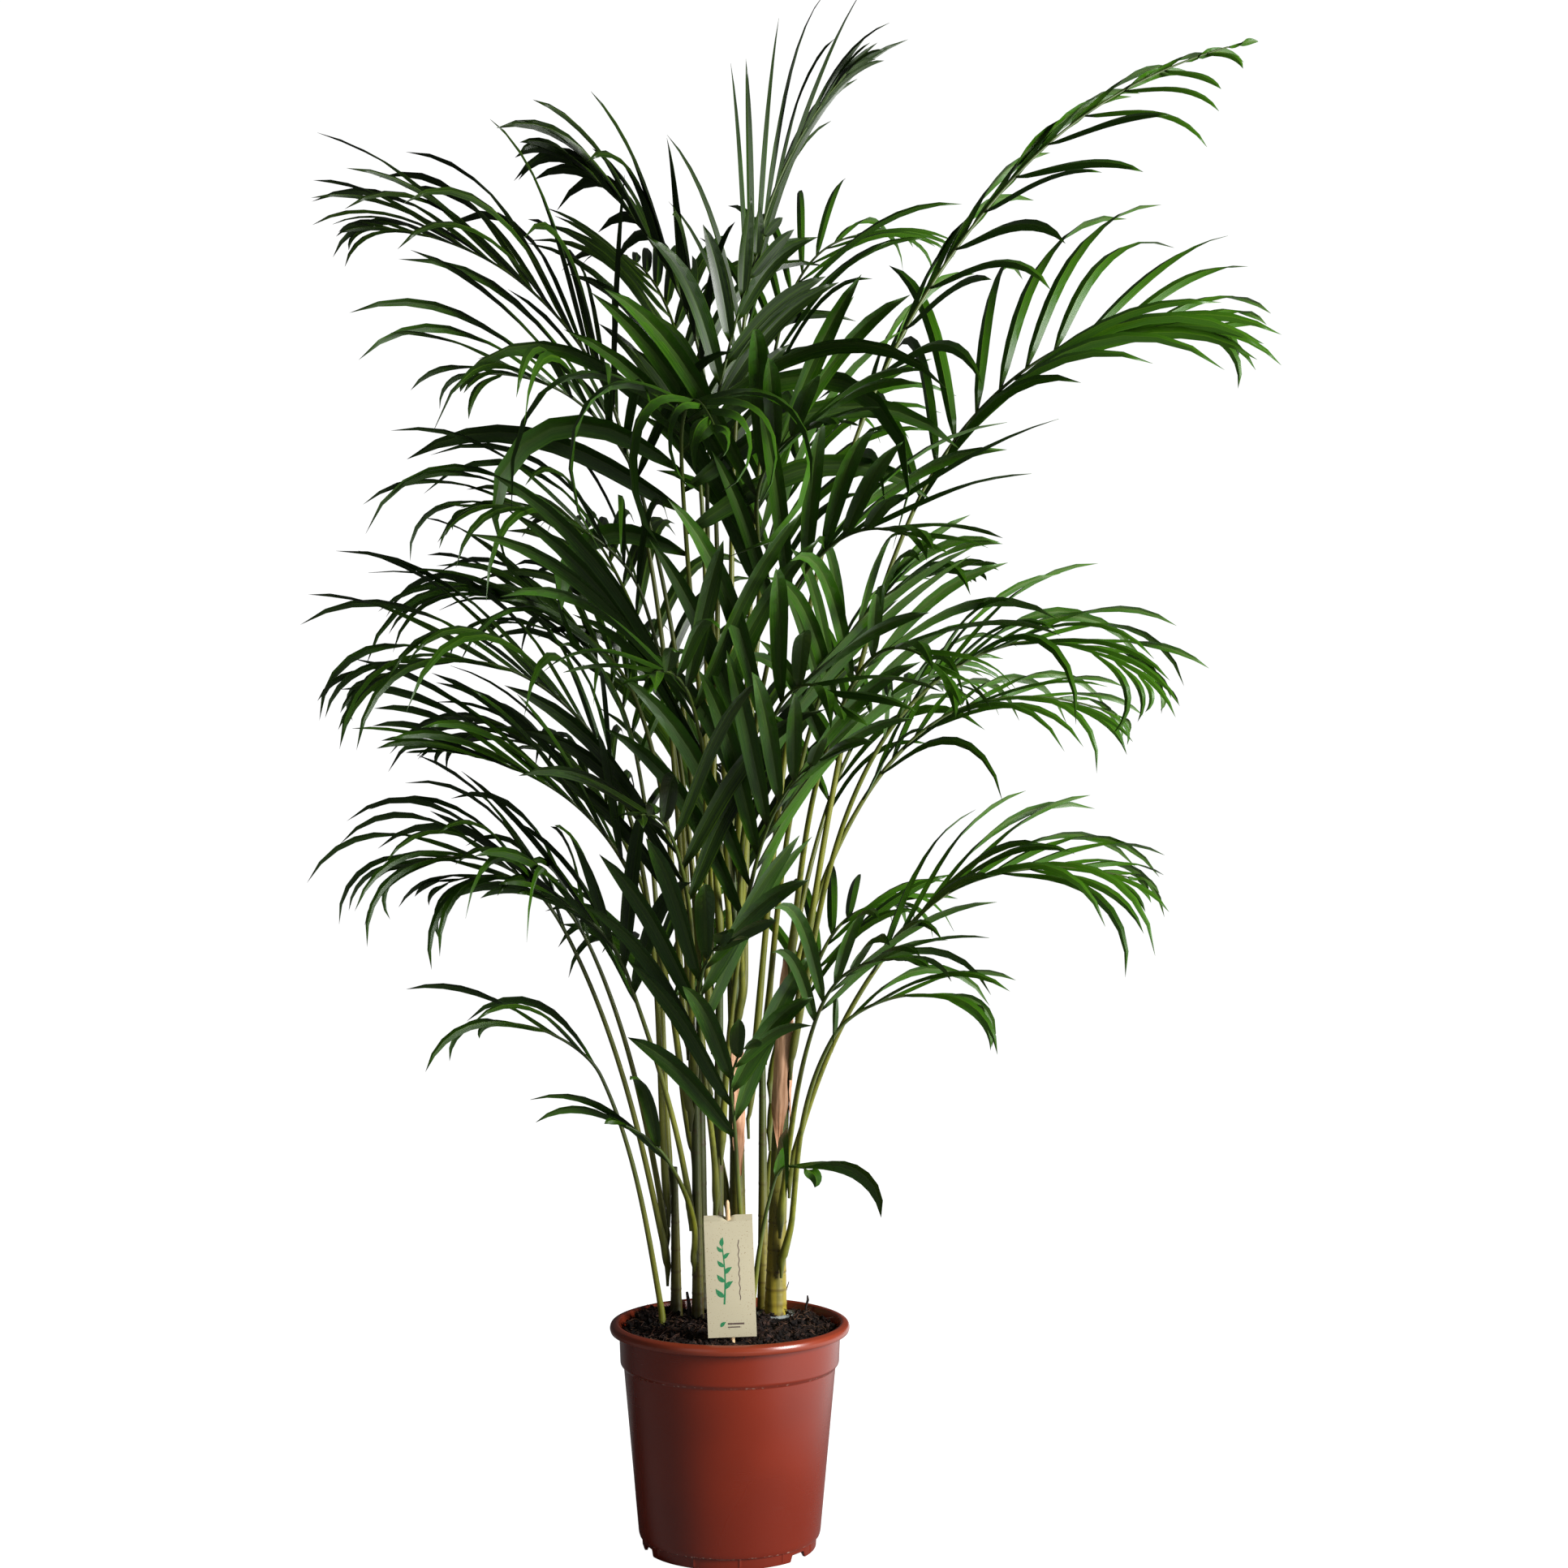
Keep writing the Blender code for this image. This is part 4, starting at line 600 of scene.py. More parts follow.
def leaf_material():
    """A waxy leaflet: lengthwise veins, a paler midrib and underside, each leaflet a little different, and each frond
    lightened or darkened as painted light and shade.
    """
    material, shader, wires = new_material("palm_leaf")
    blade = wires.node("ShaderNodeAttribute", attribute_name="blade").outputs["Vector"]
    luck = wires.node("ShaderNodeAttribute", attribute_name="luck").outputs["Fac"]
    axes = wires.node("ShaderNodeSeparateXYZ", {"Vector": blade})
    along, across, height = (wires.out(axes, name) for name in "XYZ")
    where = object_place(wires)

    spread = wires.math("MULTIPLY", across, STREAKS_ACROSS)
    waves = wires.math("SINE", wires.math("MULTIPLY", spread, VEINS_PER_STREAK))
    veins = wires.math("ADD", 0.5, wires.math("MULTIPLY", waves, 0.5))
    stretch = wires.node("ShaderNodeCombineXYZ", {"X": wires.math("MULTIPLY", along, 1.5), "Y": spread, "Z": luck})
    streak = wires.node("ShaderNodeTexNoise", {"Vector": stretch, "Scale": 1.0, "Detail": 2.0}).outputs["Fac"]
    _, blotch = patches_on(wires, where, 9.0, 3.0, (0.5, 0.75), 0.35)

    # Painted light and shade: each frond's leaflets are paler the further right it reaches, towards the lamp, and
    # darkest, undersides too, on the fronds listed as shaded.
    youth = wires.node("ShaderNodeAttribute", attribute_name="youth").outputs["Fac"]
    green = wires.mix(wires.math("MULTIPLY_ADD", luck, 0.6, youth), LEAF_DEEP, LEAF_GREEN)
    green = wires.mix(wires.math("MULTIPLY", wires.ramp(streak, ((0.45, 0.0), (0.8, 1.0))), 0.45), green, LEAF_YOUNG)
    green = wires.mix(blotch, green, LEAF_GREEN)
    midrib = wires.ramp(wires.math("ABSOLUTE", across), ((0.0, 1.0), (0.12, 0.0)))
    green = wires.mix(wires.math("MULTIPLY", midrib, 0.25), green, LEAF_YOUNG)
    base = wires.ramp(along, ((0.0, 0.6), (0.09, 0.0)))
    green = wires.mix(base, green, STALK_GREEN)
    under = wires.ramp(height, ((-0.9, 1.0), (-0.1, 0.0)))
    green = wires.mix(wires.math("MULTIPLY", under, 0.55), green, wires.mix(youth, LEAF_UNDER_PAINTED_SHADE, LEAF_UNDER))
    wires.plug(shader.inputs["Base Color"], green)

    rough = wires.math("ADD", 0.24, wires.math("MULTIPLY", streak, 0.16))
    wires.plug(shader.inputs["Roughness"], wires.math("ADD", rough, wires.math("MULTIPLY", under, 0.16)))
    relief = wires.math("ADD", wires.math("MULTIPLY", veins, 0.7), wires.math("MULTIPLY", streak, 0.6))
    raise_by(wires, shader, relief, 0.25, 0.2 * MM)
    shader.inputs["Specular IOR Level"].default_value = 0.30
    return material


def stalk_material():
    """A frond's stalk: yellow-green and satin low down, greener towards its tip, with faint lengthwise lines."""
    material, shader, wires = new_material("frond_stalk")
    along = wires.node("ShaderNodeAttribute", attribute_name="stalk_share").outputs["Fac"]
    where = object_place(wires)
    grain, lines = grain_on(wires, where, 240.0, 14.0, 3.0, (0.4, 0.7), 0.5)
    _, scar = patches_on(wires, where, 26.0, 4.0, (0.66, 0.74), 0.6)
    tone = wires.mix(wires.ramp(along, ((0.15, 0.0), (0.8, 1.0))), STALK_YELLOW, STALK_GREEN)
    tone = wires.mix(lines, tone, STALK_GREEN)
    tone = wires.mix(wires.ramp(along, ((0.0, 0.75), (0.14, 0.0))), tone, STALK_FOOT)
    tone = wires.mix(scar, tone, STALK_SCAR)
    wires.plug(shader.inputs["Base Color"], tone)
    wires.plug(shader.inputs["Roughness"], wires.math("MULTIPLY_ADD", grain, 0.2, 0.34))
    raise_by(wires, shader, grain, 0.4, 0.3 * MM)
    return material


# ---------------------------------------------------------------- leaves: the shapes


BLADE_SECTIONS = 11
BLADE_THICKNESS = 0.45 * MM
BLADE_THINNING = 0.3 * MM
BLADE_OUTLINE = ((0.0, 0.2), (0.06, 0.55), (0.18, 0.88), (0.38, 1.0), (0.65, 0.92), (0.86, 0.55), (1.0, 0.012))
STALK_SIDES = 10


def blade_template():
    """One leaflet in its own measure: X is the share of its length, Y the share of its half width, Z its faces."""
    corners = []
    for i in range(BLADE_SECTIONS):
        share = i / (BLADE_SECTIONS - 1)
        corners += [(share, -1, 0), (share, 0, -1), (share, 1, 0), (share, 0, 1)]
    obj = object_from("leaflet_template", corners, ring_faces(BLADE_SECTIONS, 4), None)
    obj.data.materials.clear()
    obj.data.shade_smooth()
    sharp = obj.data.attributes.new("sharp_edge", "BOOLEAN", "EDGE")
    edges = [bool(e.vertices[1] - e.vertices[0] == 4 or e.vertices[0] - e.vertices[1] == 4) for e in obj.data.edges]
    sharp.data.foreach_set("value", edges)
    return obj


def frond_tree():
    """Grows a frond on its midline: the stalk as a tapering tube, and bending leaflets along its upper part."""
    tree = bpy.data.node_groups.new("frond", "GeometryNodeTree")
    sockets = (
        ("Midline", "NodeSocketGeometry"),
        ("Leaflet Shape", "NodeSocketObject"),
        ("Leaflets", "NodeSocketInt"),
        ("Leafy From", "NodeSocketFloat"),
        ("Length", "NodeSocketFloat"),
        ("Width", "NodeSocketFloat"),
        ("Sweep", "NodeSocketFloat"),
        ("Lift", "NodeSocketFloat"),
        ("Droop", "NodeSocketFloat"),
        ("Uneven", "NodeSocketFloat"),
        ("Sideways", "NodeSocketVector"),
        ("Stalk Radius", "NodeSocketFloat"),
        ("Sheath", "NodeSocketFloat"),
        ("Seed", "NodeSocketInt"),
        ("Stalk Finish", "NodeSocketMaterial"),
        ("Leaflet Finish", "NodeSocketMaterial"),
    )
    for name, kind in sockets:
        tree.interface.new_socket(name, in_out="INPUT", socket_type=kind)
    tree.interface.new_socket("Frond", in_out="OUTPUT", socket_type="NodeSocketGeometry")
    wires = Wires(tree)
    given = wires.node("NodeGroupInput").outputs
    midline = wires.node("GeometryNodeMeshToCurve", {"Mesh": given["Midline"]}).outputs["Curve"]
    stalk = stalk_tube(wires, given, midline)
    leaflets = leaflets_along(wires, given, midline)
    joined = wires.node("GeometryNodeJoinGeometry")
    tree.links.new(leaflets, joined.inputs[0])
    tree.links.new(stalk, joined.inputs[0])
    whole = wires.node("GeometryNodeRealizeInstances", {"Geometry": joined.outputs[0]})
    wires.node("NodeGroupOutput", {"Frond": whole.outputs[0]})
    return tree


def stored(wires, geometry, name, value, kind="FLOAT"):
    """The geometry with a value kept on each of its points under a name."""
    settings = {"data_type": kind, "domain": "POINT"}
    return wires.node(
        "GeometryNodeStoreNamedAttribute", {"Geometry": geometry, "Name": name, "Value": value}, **settings
    ).outputs[0]


def recalled(wires, name, kind="FLOAT"):
    """A value that was kept on the points under a name."""
    made = wires.node("GeometryNodeInputNamedAttribute", {"Name": name}, data_type=kind)
    return wires.out(made, "Attribute")


def stalk_tube(wires, given, midline):
    """The stalk: a tube that clasps its cane at the foot and thins towards the tip."""
    share = wires.node("GeometryNodeSplineParameter").outputs["Factor"]
    curve = stored(wires, midline, "stalk_share", share)
    share = recalled(wires, "stalk_share")
    taper = wires.math("SUBTRACT", 1.0, wires.math("MULTIPLY", 1 - STALK_TIP_SHARE, wires.math("POWER", share, 1.4)))
    clasp = wires.math("MULTIPLY", given["Sheath"], wires.ramp(share, ((0.0, 1.0), (0.16, 0.0))))
    radius = wires.math("MULTIPLY", given["Stalk Radius"], wires.math("ADD", taper, clasp))
    radius = wires.math("MULTIPLY", radius, wires.ramp(share, ((0.0, 0.3), (0.06, 1.0))))
    circle = wires.node("GeometryNodeCurvePrimitiveCircle", {"Resolution": STALK_SIDES, "Radius": 1.0})
    shape = {"Curve": curve, "Profile Curve": circle.outputs["Curve"], "Scale": radius, "Fill Caps": True}
    tube = wires.node("GeometryNodeCurveToMesh", shape)
    smooth = wires.node("GeometryNodeSetShadeSmooth", {"Geometry": tube.outputs[0]})
    finish = {"Geometry": smooth.outputs[0], "Material": given["Stalk Finish"]}
    return wires.node("GeometryNodeSetMaterial", finish).outputs[0]


def leaflets_along(wires, given, midline):
    """Leaflets left and right in turn, each one bent down by its own weight."""
    count = given["Leaflets"]
    leafy = wires.node("GeometryNodeTrimCurve", {"Curve": midline, "Start": given["Leafy From"]}, mode="FACTOR")
    beads = wires.node("GeometryNodeCurveToPoints", {"Curve": leafy.outputs[0], "Count": count}, mode="COUNT")
    index = wires.node("GeometryNodeInputIndex").outputs[0]
    place_on_frond = wires.math("DIVIDE", index, wires.math("SUBTRACT", count, 1.0))
    side = wires.math("SUBTRACT", 1.0, wires.math("MULTIPLY", 2.0, wires.math("MODULO", index, 2.0)))
    points = wires.out(beads, "Points")
    points = stored(wires, points, "root", wires.node("GeometryNodeInputPosition").outputs[0], "FLOAT_VECTOR")
    points = stored(wires, points, "rib", wires.out(beads, "Tangent"), "FLOAT_VECTOR")
    points = stored(wires, points, "place", place_on_frond)
    points = stored(wires, points, "side", side)
    for number, name in enumerate(("luck", "luck_2", "luck_3", "luck_4")):
        seed = wires.math("ADD", given["Seed"], 1000.0 * number)
        chance = wires.node("FunctionNodeRandomValue", {"ID": index, "Seed": seed}, data_type="FLOAT")
        points = stored(wires, points, name, wires.out(chance, "Value"))
    shape = wires.node("GeometryNodeObjectInfo", {"Object": given["Leaflet Shape"]}).outputs["Geometry"]
    shape = stored(wires, shape, "blade", wires.node("GeometryNodeInputPosition").outputs[0], "FLOAT_VECTOR")
    placed = wires.node("GeometryNodeInstanceOnPoints", {"Points": points, "Instance": shape}).outputs[0]
    mesh = wires.node("GeometryNodeRealizeInstances", {"Geometry": placed}).outputs[0]
    spot = leaflet_position(wires, given)
    mesh = wires.node("GeometryNodeSetPosition", {"Geometry": mesh, "Position": spot}).outputs[0]
    left = wires.math("LESS_THAN", recalled(wires, "side"), 0.0)
    mesh = wires.node("GeometryNodeFlipFaces", {"Mesh": mesh, "Selection": left}).outputs[0]
    return wires.node("GeometryNodeSetMaterial", {"Geometry": mesh, "Material": given["Leaflet Finish"]}).outputs[0]


def leaflet_position(wires, given):
    """Where each corner of each leaflet goes, from its measure on the template and its place on the midrib."""
    math_, vec = wires.math, wires.vector
    blade = wires.node("ShaderNodeSeparateXYZ", {"Vector": recalled(wires, "blade", "FLOAT_VECTOR")})
    along, across, height = (wires.out(blade, name) for name in "XYZ")
    root, rib = recalled(wires, "root", "FLOAT_VECTOR"), recalled(wires, "rib", "FLOAT_VECTOR")
    on_frond, side = recalled(wires, "place"), recalled(wires, "side")
    luck, luck_2, luck_3, luck_4 = (recalled(wires, name) for name in ("luck", "luck_2", "luck_3", "luck_4"))

    def varied(value, chance, spread):
        """The value plus or minus half a spread."""
        return math_("ADD", value, math_("MULTIPLY", math_("SUBTRACT", chance, 0.5), spread))

    # The longest leaflets are a quarter of the way along the leafy part, and the last ones are short.
    rising = math_("MULTIPLY", math.pi, math_("MINIMUM", 1.0, math_("MULTIPLY_ADD", on_frond, 0.66, 0.32)))
    fullness = math_("POWER", math_("MAXIMUM", math_("SINE", rising), 0.001), 1.1)
    long = math_("MULTIPLY", given["Length"], math_("MULTIPLY_ADD", fullness, 0.94, 0.12))
    long = math_("MULTIPLY", long, math_("MULTIPLY_ADD", luck_2, 0.24, 0.84))
    wide = math_("MULTIPLY", given["Width"], math_("MULTIPLY_ADD", fullness, 0.45, 0.55))
    opened = math_("MULTIPLY", given["Sweep"], math_("MULTIPLY_ADD", side, given["Uneven"], 1.0))
    sweep = varied(math_("MULTIPLY", opened, math_("MULTIPLY_ADD", on_frond, -0.55, 1.12)), luck_3, 0.20)
    lift = varied(math_("MULTIPLY", given["Lift"], math_("MULTIPLY_ADD", on_frond, -0.5, 1.0)), luck_4, 0.35)
    droop = math_("MULTIPLY", given["Droop"], math_("MULTIPLY_ADD", luck, 0.9, 0.3))

    sideways = vec("SUBTRACT", given["Sideways"], vec("SCALE", rib, vec("DOT_PRODUCT", given["Sideways"], rib)))
    right = vec("NORMALIZE", sideways)
    above = vec("CROSS_PRODUCT", right, rib)
    level = vec("SCALE", right, math_("MULTIPLY", side, math_("COSINE", lift)))
    outward = vec("ADD", level, vec("SCALE", above, math_("SINE", lift)))
    start = vec("ADD", vec("SCALE", rib, math_("COSINE", sweep)), vec("SCALE", outward, math_("SINE", sweep)))
    start = vec("NORMALIZE", start)
    down = vec("SUBTRACT", (0, 0, -1), vec("SCALE", start, vec("DOT_PRODUCT", start, (0, 0, -1))))
    down = vec("NORMALIZE", down)

    # A leaflet bends more towards its tip; its middle line runs out and falls along an arc.
    turned = math_("MAXIMUM", 0.001, math_("MULTIPLY", droop, math_("POWER", along, 2.2)))
    reach = math_("DIVIDE", math_("SINE", turned), turned)
    fall = math_("DIVIDE", math_("SUBTRACT", 1.0, math_("COSINE", turned)), turned)
    run = math_("MULTIPLY", long, along)
    ahead = vec("SCALE", start, math_("MULTIPLY", run, reach))
    middle = vec("ADD", ahead, vec("SCALE", down, math_("MULTIPLY", run, fall)))
    steeper = math_("MULTIPLY", turned, 1.25)
    heading = vec("ADD", vec("SCALE", start, math_("COSINE", steeper)), vec("SCALE", down, math_("SINE", steeper)))
    flat = vec("NORMALIZE", vec("SUBTRACT", rib, vec("SCALE", heading, vec("DOT_PRODUCT", heading, rib))))
    twist = math_("MULTIPLY", math_("MULTIPLY", math_("SUBTRACT", luck_3, 0.5), 1.0), along)
    turn = wires.node("ShaderNodeVectorRotate", {"Vector": flat, "Axis": heading, "Angle": twist})
    flat = turn.outputs[0]
    face = vec("SCALE", vec("CROSS_PRODUCT", heading, flat), side)

    # Its halves fold down from the midrib, less so towards the tip, and it thins out.
    half = math_("MULTIPLY", math_("MULTIPLY", wide, 0.5), wires.curve(along, BLADE_OUTLINE))
    fold = math_("MULTIPLY_ADD", along, -0.30, 0.55)
    edge = vec("SCALE", flat, math_("MULTIPLY", math_("MULTIPLY", across, half), math_("COSINE", fold)))
    dip = math_("MULTIPLY", math_("MULTIPLY", math_("ABSOLUTE", across), half), math_("SINE", fold))
    thick = math_("MULTIPLY", height, math_("MULTIPLY_ADD", along, -BLADE_THINNING, BLADE_THICKNESS))
    raised = vec("SCALE", face, math_("SUBTRACT", thick, dip))
    return vec("ADD", root, vec("ADD", middle, vec("ADD", edge, raised)))


def set_inputs(modifier, **values):
    """Sets a modifier's named inputs by their identifiers, before it is first evaluated."""
    for item in modifier.node_group.interface.items_tree:
        if item.item_type == "SOCKET" and item.in_out == "INPUT" and item.name in values:
            modifier[item.identifier] = values[item.name]


def settled_mesh(obj, name):
    """A plain object made from what an object's modifiers give; the object it came from is removed."""
    bpy.context.view_layer.update()
    evaluated = obj.evaluated_get(bpy.context.evaluated_depsgraph_get())
    mesh = bpy.data.meshes.new_from_object(evaluated)
    mesh.name = name
    bpy.data.objects.remove(obj, do_unlink=True)
    made = bpy.data.objects.new(name, mesh)
    bpy.context.scene.collection.objects.link(made)
    return made


# Leaflets are slimmer the further out their frond reaches, until it reaches this far.
SPREADING = 0.3
WIDEST_SHARE = 1.02
SLIMMING = 0.3
# Fronds whose leaflets are darkest, a painted shade; the others are paler the further right they reach, towards the
# lamp on the right: painted light.
PAINTED_SHADE_FRONDS = {
    "frond_14", "frond_15", "frond_16", "frond_18", "frond_32",
    "frond_36", "frond_38", "frond_40", "frond_41",
}
PAINTED_SHADE_TONE = -0.45
PAINTED_LIGHT_MIDDLE = 0.3
PAINTED_LIGHT_PER_METRE = 1.8
# Fronds that lean over: by how many degrees, and how much wider apart the right-hand leaflets open than the left.
LEANS = {
    "frond_01": (45, 0.7), "frond_02": (60, -0.4), "frond_03": (30, 0.3), "frond_04": (30, 0.3),
    "frond_05": (30, 0.3), "frond_06": (20, 0.2), "frond_08": (30, 0.2), "frond_10": (20, 0.2),
    "frond_15": (-15, 0.0), "frond_18": (-35, -0.2), "frond_19": (-30, -0.3), "frond_20": (-30, -0.3),
    "frond_21": (-30, -0.3), "frond_22": (-30, -0.3), "frond_23": (-25, -0.2), "frond_24": (-30, -0.3),
    "frond_25": (-25, -0.3), "frond_26": (-20, -0.2),
}
CLASP_SHARE = 0.5
SCRATCH_ATTRIBUTES = ("root", "rib", "side", "luck_2", "luck_3", "luck_4")


def make_fronds(leaf_finish, stalk_finish):
    """Every frond as one piece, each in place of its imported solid."""
    tree = frond_tree()
    template = blade_template()
    routes = {name: frond_route(frond) for name, frond in FRONDS.items()}
    lines = ease_apart([line for line, _ in routes.values()])
    for seed, ((name, (_, leafy_from)), line) in enumerate(zip(routes.items(), lines)):
        frond = FRONDS[name]
        mesh = bpy.data.meshes.new(name)
        mesh.from_pydata([tuple(p) for p in line], [(i, i + 1) for i in range(len(line) - 1)], [])
        obj = bpy.data.objects.new(f"{name}_midline", mesh)
        bpy.context.scene.collection.objects.link(obj)
        heading = Vector(line[-1] - line[0])
        heading.z = 0
        roll, uneven = LEANS.get(name, (0, 0))
        slender = WIDEST_SHARE - SLIMMING * min(1.0, abs(line[-1][0]) / SPREADING)
        sideways = Quaternion(heading, math.radians(roll)) @ heading.normalized().cross(UP)
        modifier = obj.modifiers.new("frond", "NODES")
        modifier.node_group = tree
        set_inputs(
            modifier,
            **{
                "Leaflet Shape": template,
                "Leaflets": frond.leaflets,
                "Leafy From": leafy_from,
                "Length": frond.length * CM,
                "Width": frond.width * CM * slender,
                "Sweep": math.radians(frond.sweep),
                "Lift": math.radians(frond.lift),
                "Droop": math.radians(frond.droop),
                "Uneven": uneven,
                "Sideways": tuple(sideways),
                "Stalk Radius": STALK_RADIUS,
                "Sheath": CLASP_SHARE,
                "Seed": seed * 7 + 3,
                "Stalk Finish": stalk_finish,
                "Leaflet Finish": leaf_finish,
            },
        )
        piece = settled_mesh(obj, f"{name}_leaf")
        for attribute in SCRATCH_ATTRIBUTES:
            piece.data.attributes.remove(piece.data.attributes[attribute])
        # Painted light and shade: a frond is paler the further right its tip reaches, and the listed fronds are
        # darkened.
        youth = min(1.0, max(0.0, PAINTED_LIGHT_MIDDLE + PAINTED_LIGHT_PER_METRE * line[-1][0]))
        if name in PAINTED_SHADE_FRONDS:
            youth = PAINTED_SHADE_TONE
        set_attribute(piece, "youth", [youth] * len(piece.data.vertices))
        place(piece, name)
    bpy.data.objects.remove(template, do_unlink=True)


# ---------------------------------------------------------------- turned shapes


def rounded(corners, steps=5):
    """An outline with eased corners: each corner is (radius, height, how far back its easing starts)."""
    outline = []
    for i, (radius, height, ease) in enumerate(corners):
        here = Vector((radius, height))
        if ease == 0:
            outline.append(here)
            continue
        before, after = Vector(corners[i - 1][:2]), Vector(corners[(i + 1) % len(corners)][:2])
        start = here + (before - here).normalized() * ease
        end = here + (after - here).normalized() * ease
        for k in range(steps + 1):
            t = k / steps
            outline.append(start * (1 - t) ** 2 + here * (2 * t * (1 - t)) + end * t * t)
    return outline


def lathe(name, outline, sides, material, smooth=35, reshape=None, closed_loop=False):
    """A body of revolution about Z. The outline starts and ends on the axis, or is a closed loop clear of it."""
    rows = outline if closed_loop else outline[1:-1]
    angles = np.arange(sides) * 2 * math.pi / sides
    radius = np.array([[p.x] for p in rows]) + 0 * angles
    height = np.array([[p.y] for p in rows]) + 0 * angles
    if reshape is not None:
        radius, height = reshape(radius, height, angles[None, :])
    corners = np.stack([radius * np.cos(angles), radius * np.sin(angles), height], axis=2).reshape(-1, 3)
    vertices = [tuple(c) for c in corners]
    faces = []
    for i in range(len(rows) - (0 if closed_loop else 1)):
        j = (i + 1) % len(rows)
        for k in range(sides):
            n = (k + 1) % sides
            faces.append((i * sides + k, i * sides + n, j * sides + n, j * sides + k))
    if not closed_loop:
        for row, point in ((0, outline[0]), (len(rows) - 1, outline[-1])):
            vertices.append((0, 0, point.y))
            for k in range(sides):
                faces.append((row * sides + k, row * sides + (k + 1) % sides, len(vertices) - 1))
    return object_from(name, vertices, faces, material, smooth)


def joined(name, parts):
    """Several objects as one, each part keeping its own finish."""
    with bpy.context.temp_override(active_object=parts[0], object=parts[0], selected_editable_objects=parts):
        bpy.ops.object.join()
    parts[0].name = parts[0].data.name = name
    return parts[0]


# ---------------------------------------------------------------- pot


RIM_OVERHANG = 9.5 * MM
RIM_DEPTH = 10.5 * MM
BAND_DEPTH = 30 * MM
BAND_STEP = 3.4 * MM
FOOT_RADIUS = 86.5 * MM
FOOT_HEIGHT = 11 * MM
FOOT_STEP = 4 * MM
WALL = 2 * MM
EASING = 1.2 * MM
PAD_RADIUS = 58 * MM
PAD_SLOPE = 4 * MM
CHANNEL_RISE = 5.5 * MM
FOOT_RING_WIDTH = 3 * MM
NOTCH_COUNT = 3
NOTCH_WIDTH = 24 * MM
NOTCH_SLOPE = 3.4 * MM
NOTCH_HEIGHT = 6.5 * MM
NOTCH_TURN = math.radians(-37.5)
DRAIN_RADIUS = 6 * MM
PIP_COUNT = 12
PIP_TURN = math.radians(-52.5)
PIP_WIDTH = 1.6 * MM
PIP_HEIGHT = 0.9 * MM
POT_SIDES = 480

BAND_RADIUS = RIM_RADIUS - RIM_OVERHANG
BAND_TOP = POT_HEIGHT - RIM_DEPTH
BAND_BOTTOM = BAND_TOP - BAND_DEPTH

POT_RED = colour(118, 33, 8)
POT_DEEP = colour(104, 27, 6)
POT_CHALKY = colour(172, 92, 66)
POT_SCUFF = colour(96, 40, 26)
DUST = colour(206, 176, 158)


def pot_outline():
    """The pot's wall, from the middle of its underside round the rim to the middle of its floor."""
    ring_inside = FOOT_RADIUS - WALL
    low = FOOT_RADIUS + FOOT_STEP
    corners = [
        (0, 0, 0),
        (PAD_RADIUS, 0, 0.8 * MM),
        (PAD_RADIUS + PAD_SLOPE, CHANNEL_RISE, MM),
        (ring_inside - FOOT_RING_WIDTH, CHANNEL_RISE, MM),
        (ring_inside - EASING, 0, 0.5 * MM),
        (FOOT_RADIUS - EASING / 2, 0, 0.5 * MM),
        (FOOT_RADIUS - 0.4 * MM, FOOT_HEIGHT * 0.3, 0),
        (FOOT_RADIUS - 0.2 * MM, FOOT_HEIGHT * 0.6, 0),
        (FOOT_RADIUS - 0.1 * MM, FOOT_HEIGHT * 0.85, 0),
        (FOOT_RADIUS, FOOT_HEIGHT, 0.3 * MM),
        (low - EASING, FOOT_HEIGHT + 0.3 * MM, 1.0 * MM),
        (low, FOOT_HEIGHT + FOOT_STEP, 2.2 * MM),
        (BAND_RADIUS - EASING - BAND_STEP, BAND_BOTTOM - BAND_STEP - MM, 0.6 * MM),
        (BAND_RADIUS - EASING, BAND_BOTTOM - 0.4 * MM, 1.6 * MM),
        (BAND_RADIUS, BAND_TOP, 0.7 * MM),
        (RIM_RADIUS - EASING, BAND_TOP + EASING / 2, 1.0 * MM),
        (RIM_RADIUS, BAND_TOP + RIM_DEPTH * 0.42, 1.6 * MM),
        (RIM_RADIUS - EASING, POT_HEIGHT - EASING * 1.6, 1.8 * MM),
        (BAND_RADIUS + EASING * 2.5, POT_HEIGHT, 1.4 * MM),
        (BAND_RADIUS + EASING / 3, POT_HEIGHT - EASING, 0.8 * MM),
        (BAND_RADIUS - WALL, BAND_TOP, 1.2 * MM),
        (BAND_RADIUS - WALL - EASING, BAND_BOTTOM, MM),
        (BAND_RADIUS - WALL - EASING - BAND_STEP, BAND_BOTTOM - BAND_STEP, MM),
        (low - WALL, FOOT_HEIGHT + FOOT_STEP, 2 * MM),
        (ring_inside - EASING, CHANNEL_RISE + WALL, MM),
        (PAD_RADIUS + PAD_SLOPE * 0.75, CHANNEL_RISE + WALL, MM),
        (PAD_RADIUS - EASING / 2, WALL, 0.5 * MM),
        (0, WALL, 0),
    ]
    return rounded(corners)


def from_nearest(angles, first, count):
    """How far round, in radians, each angle is from the nearest of some evenly spaced places."""
    apart = 2 * math.pi / count
    return np.abs((angles - first + apart / 2) % apart - apart / 2)


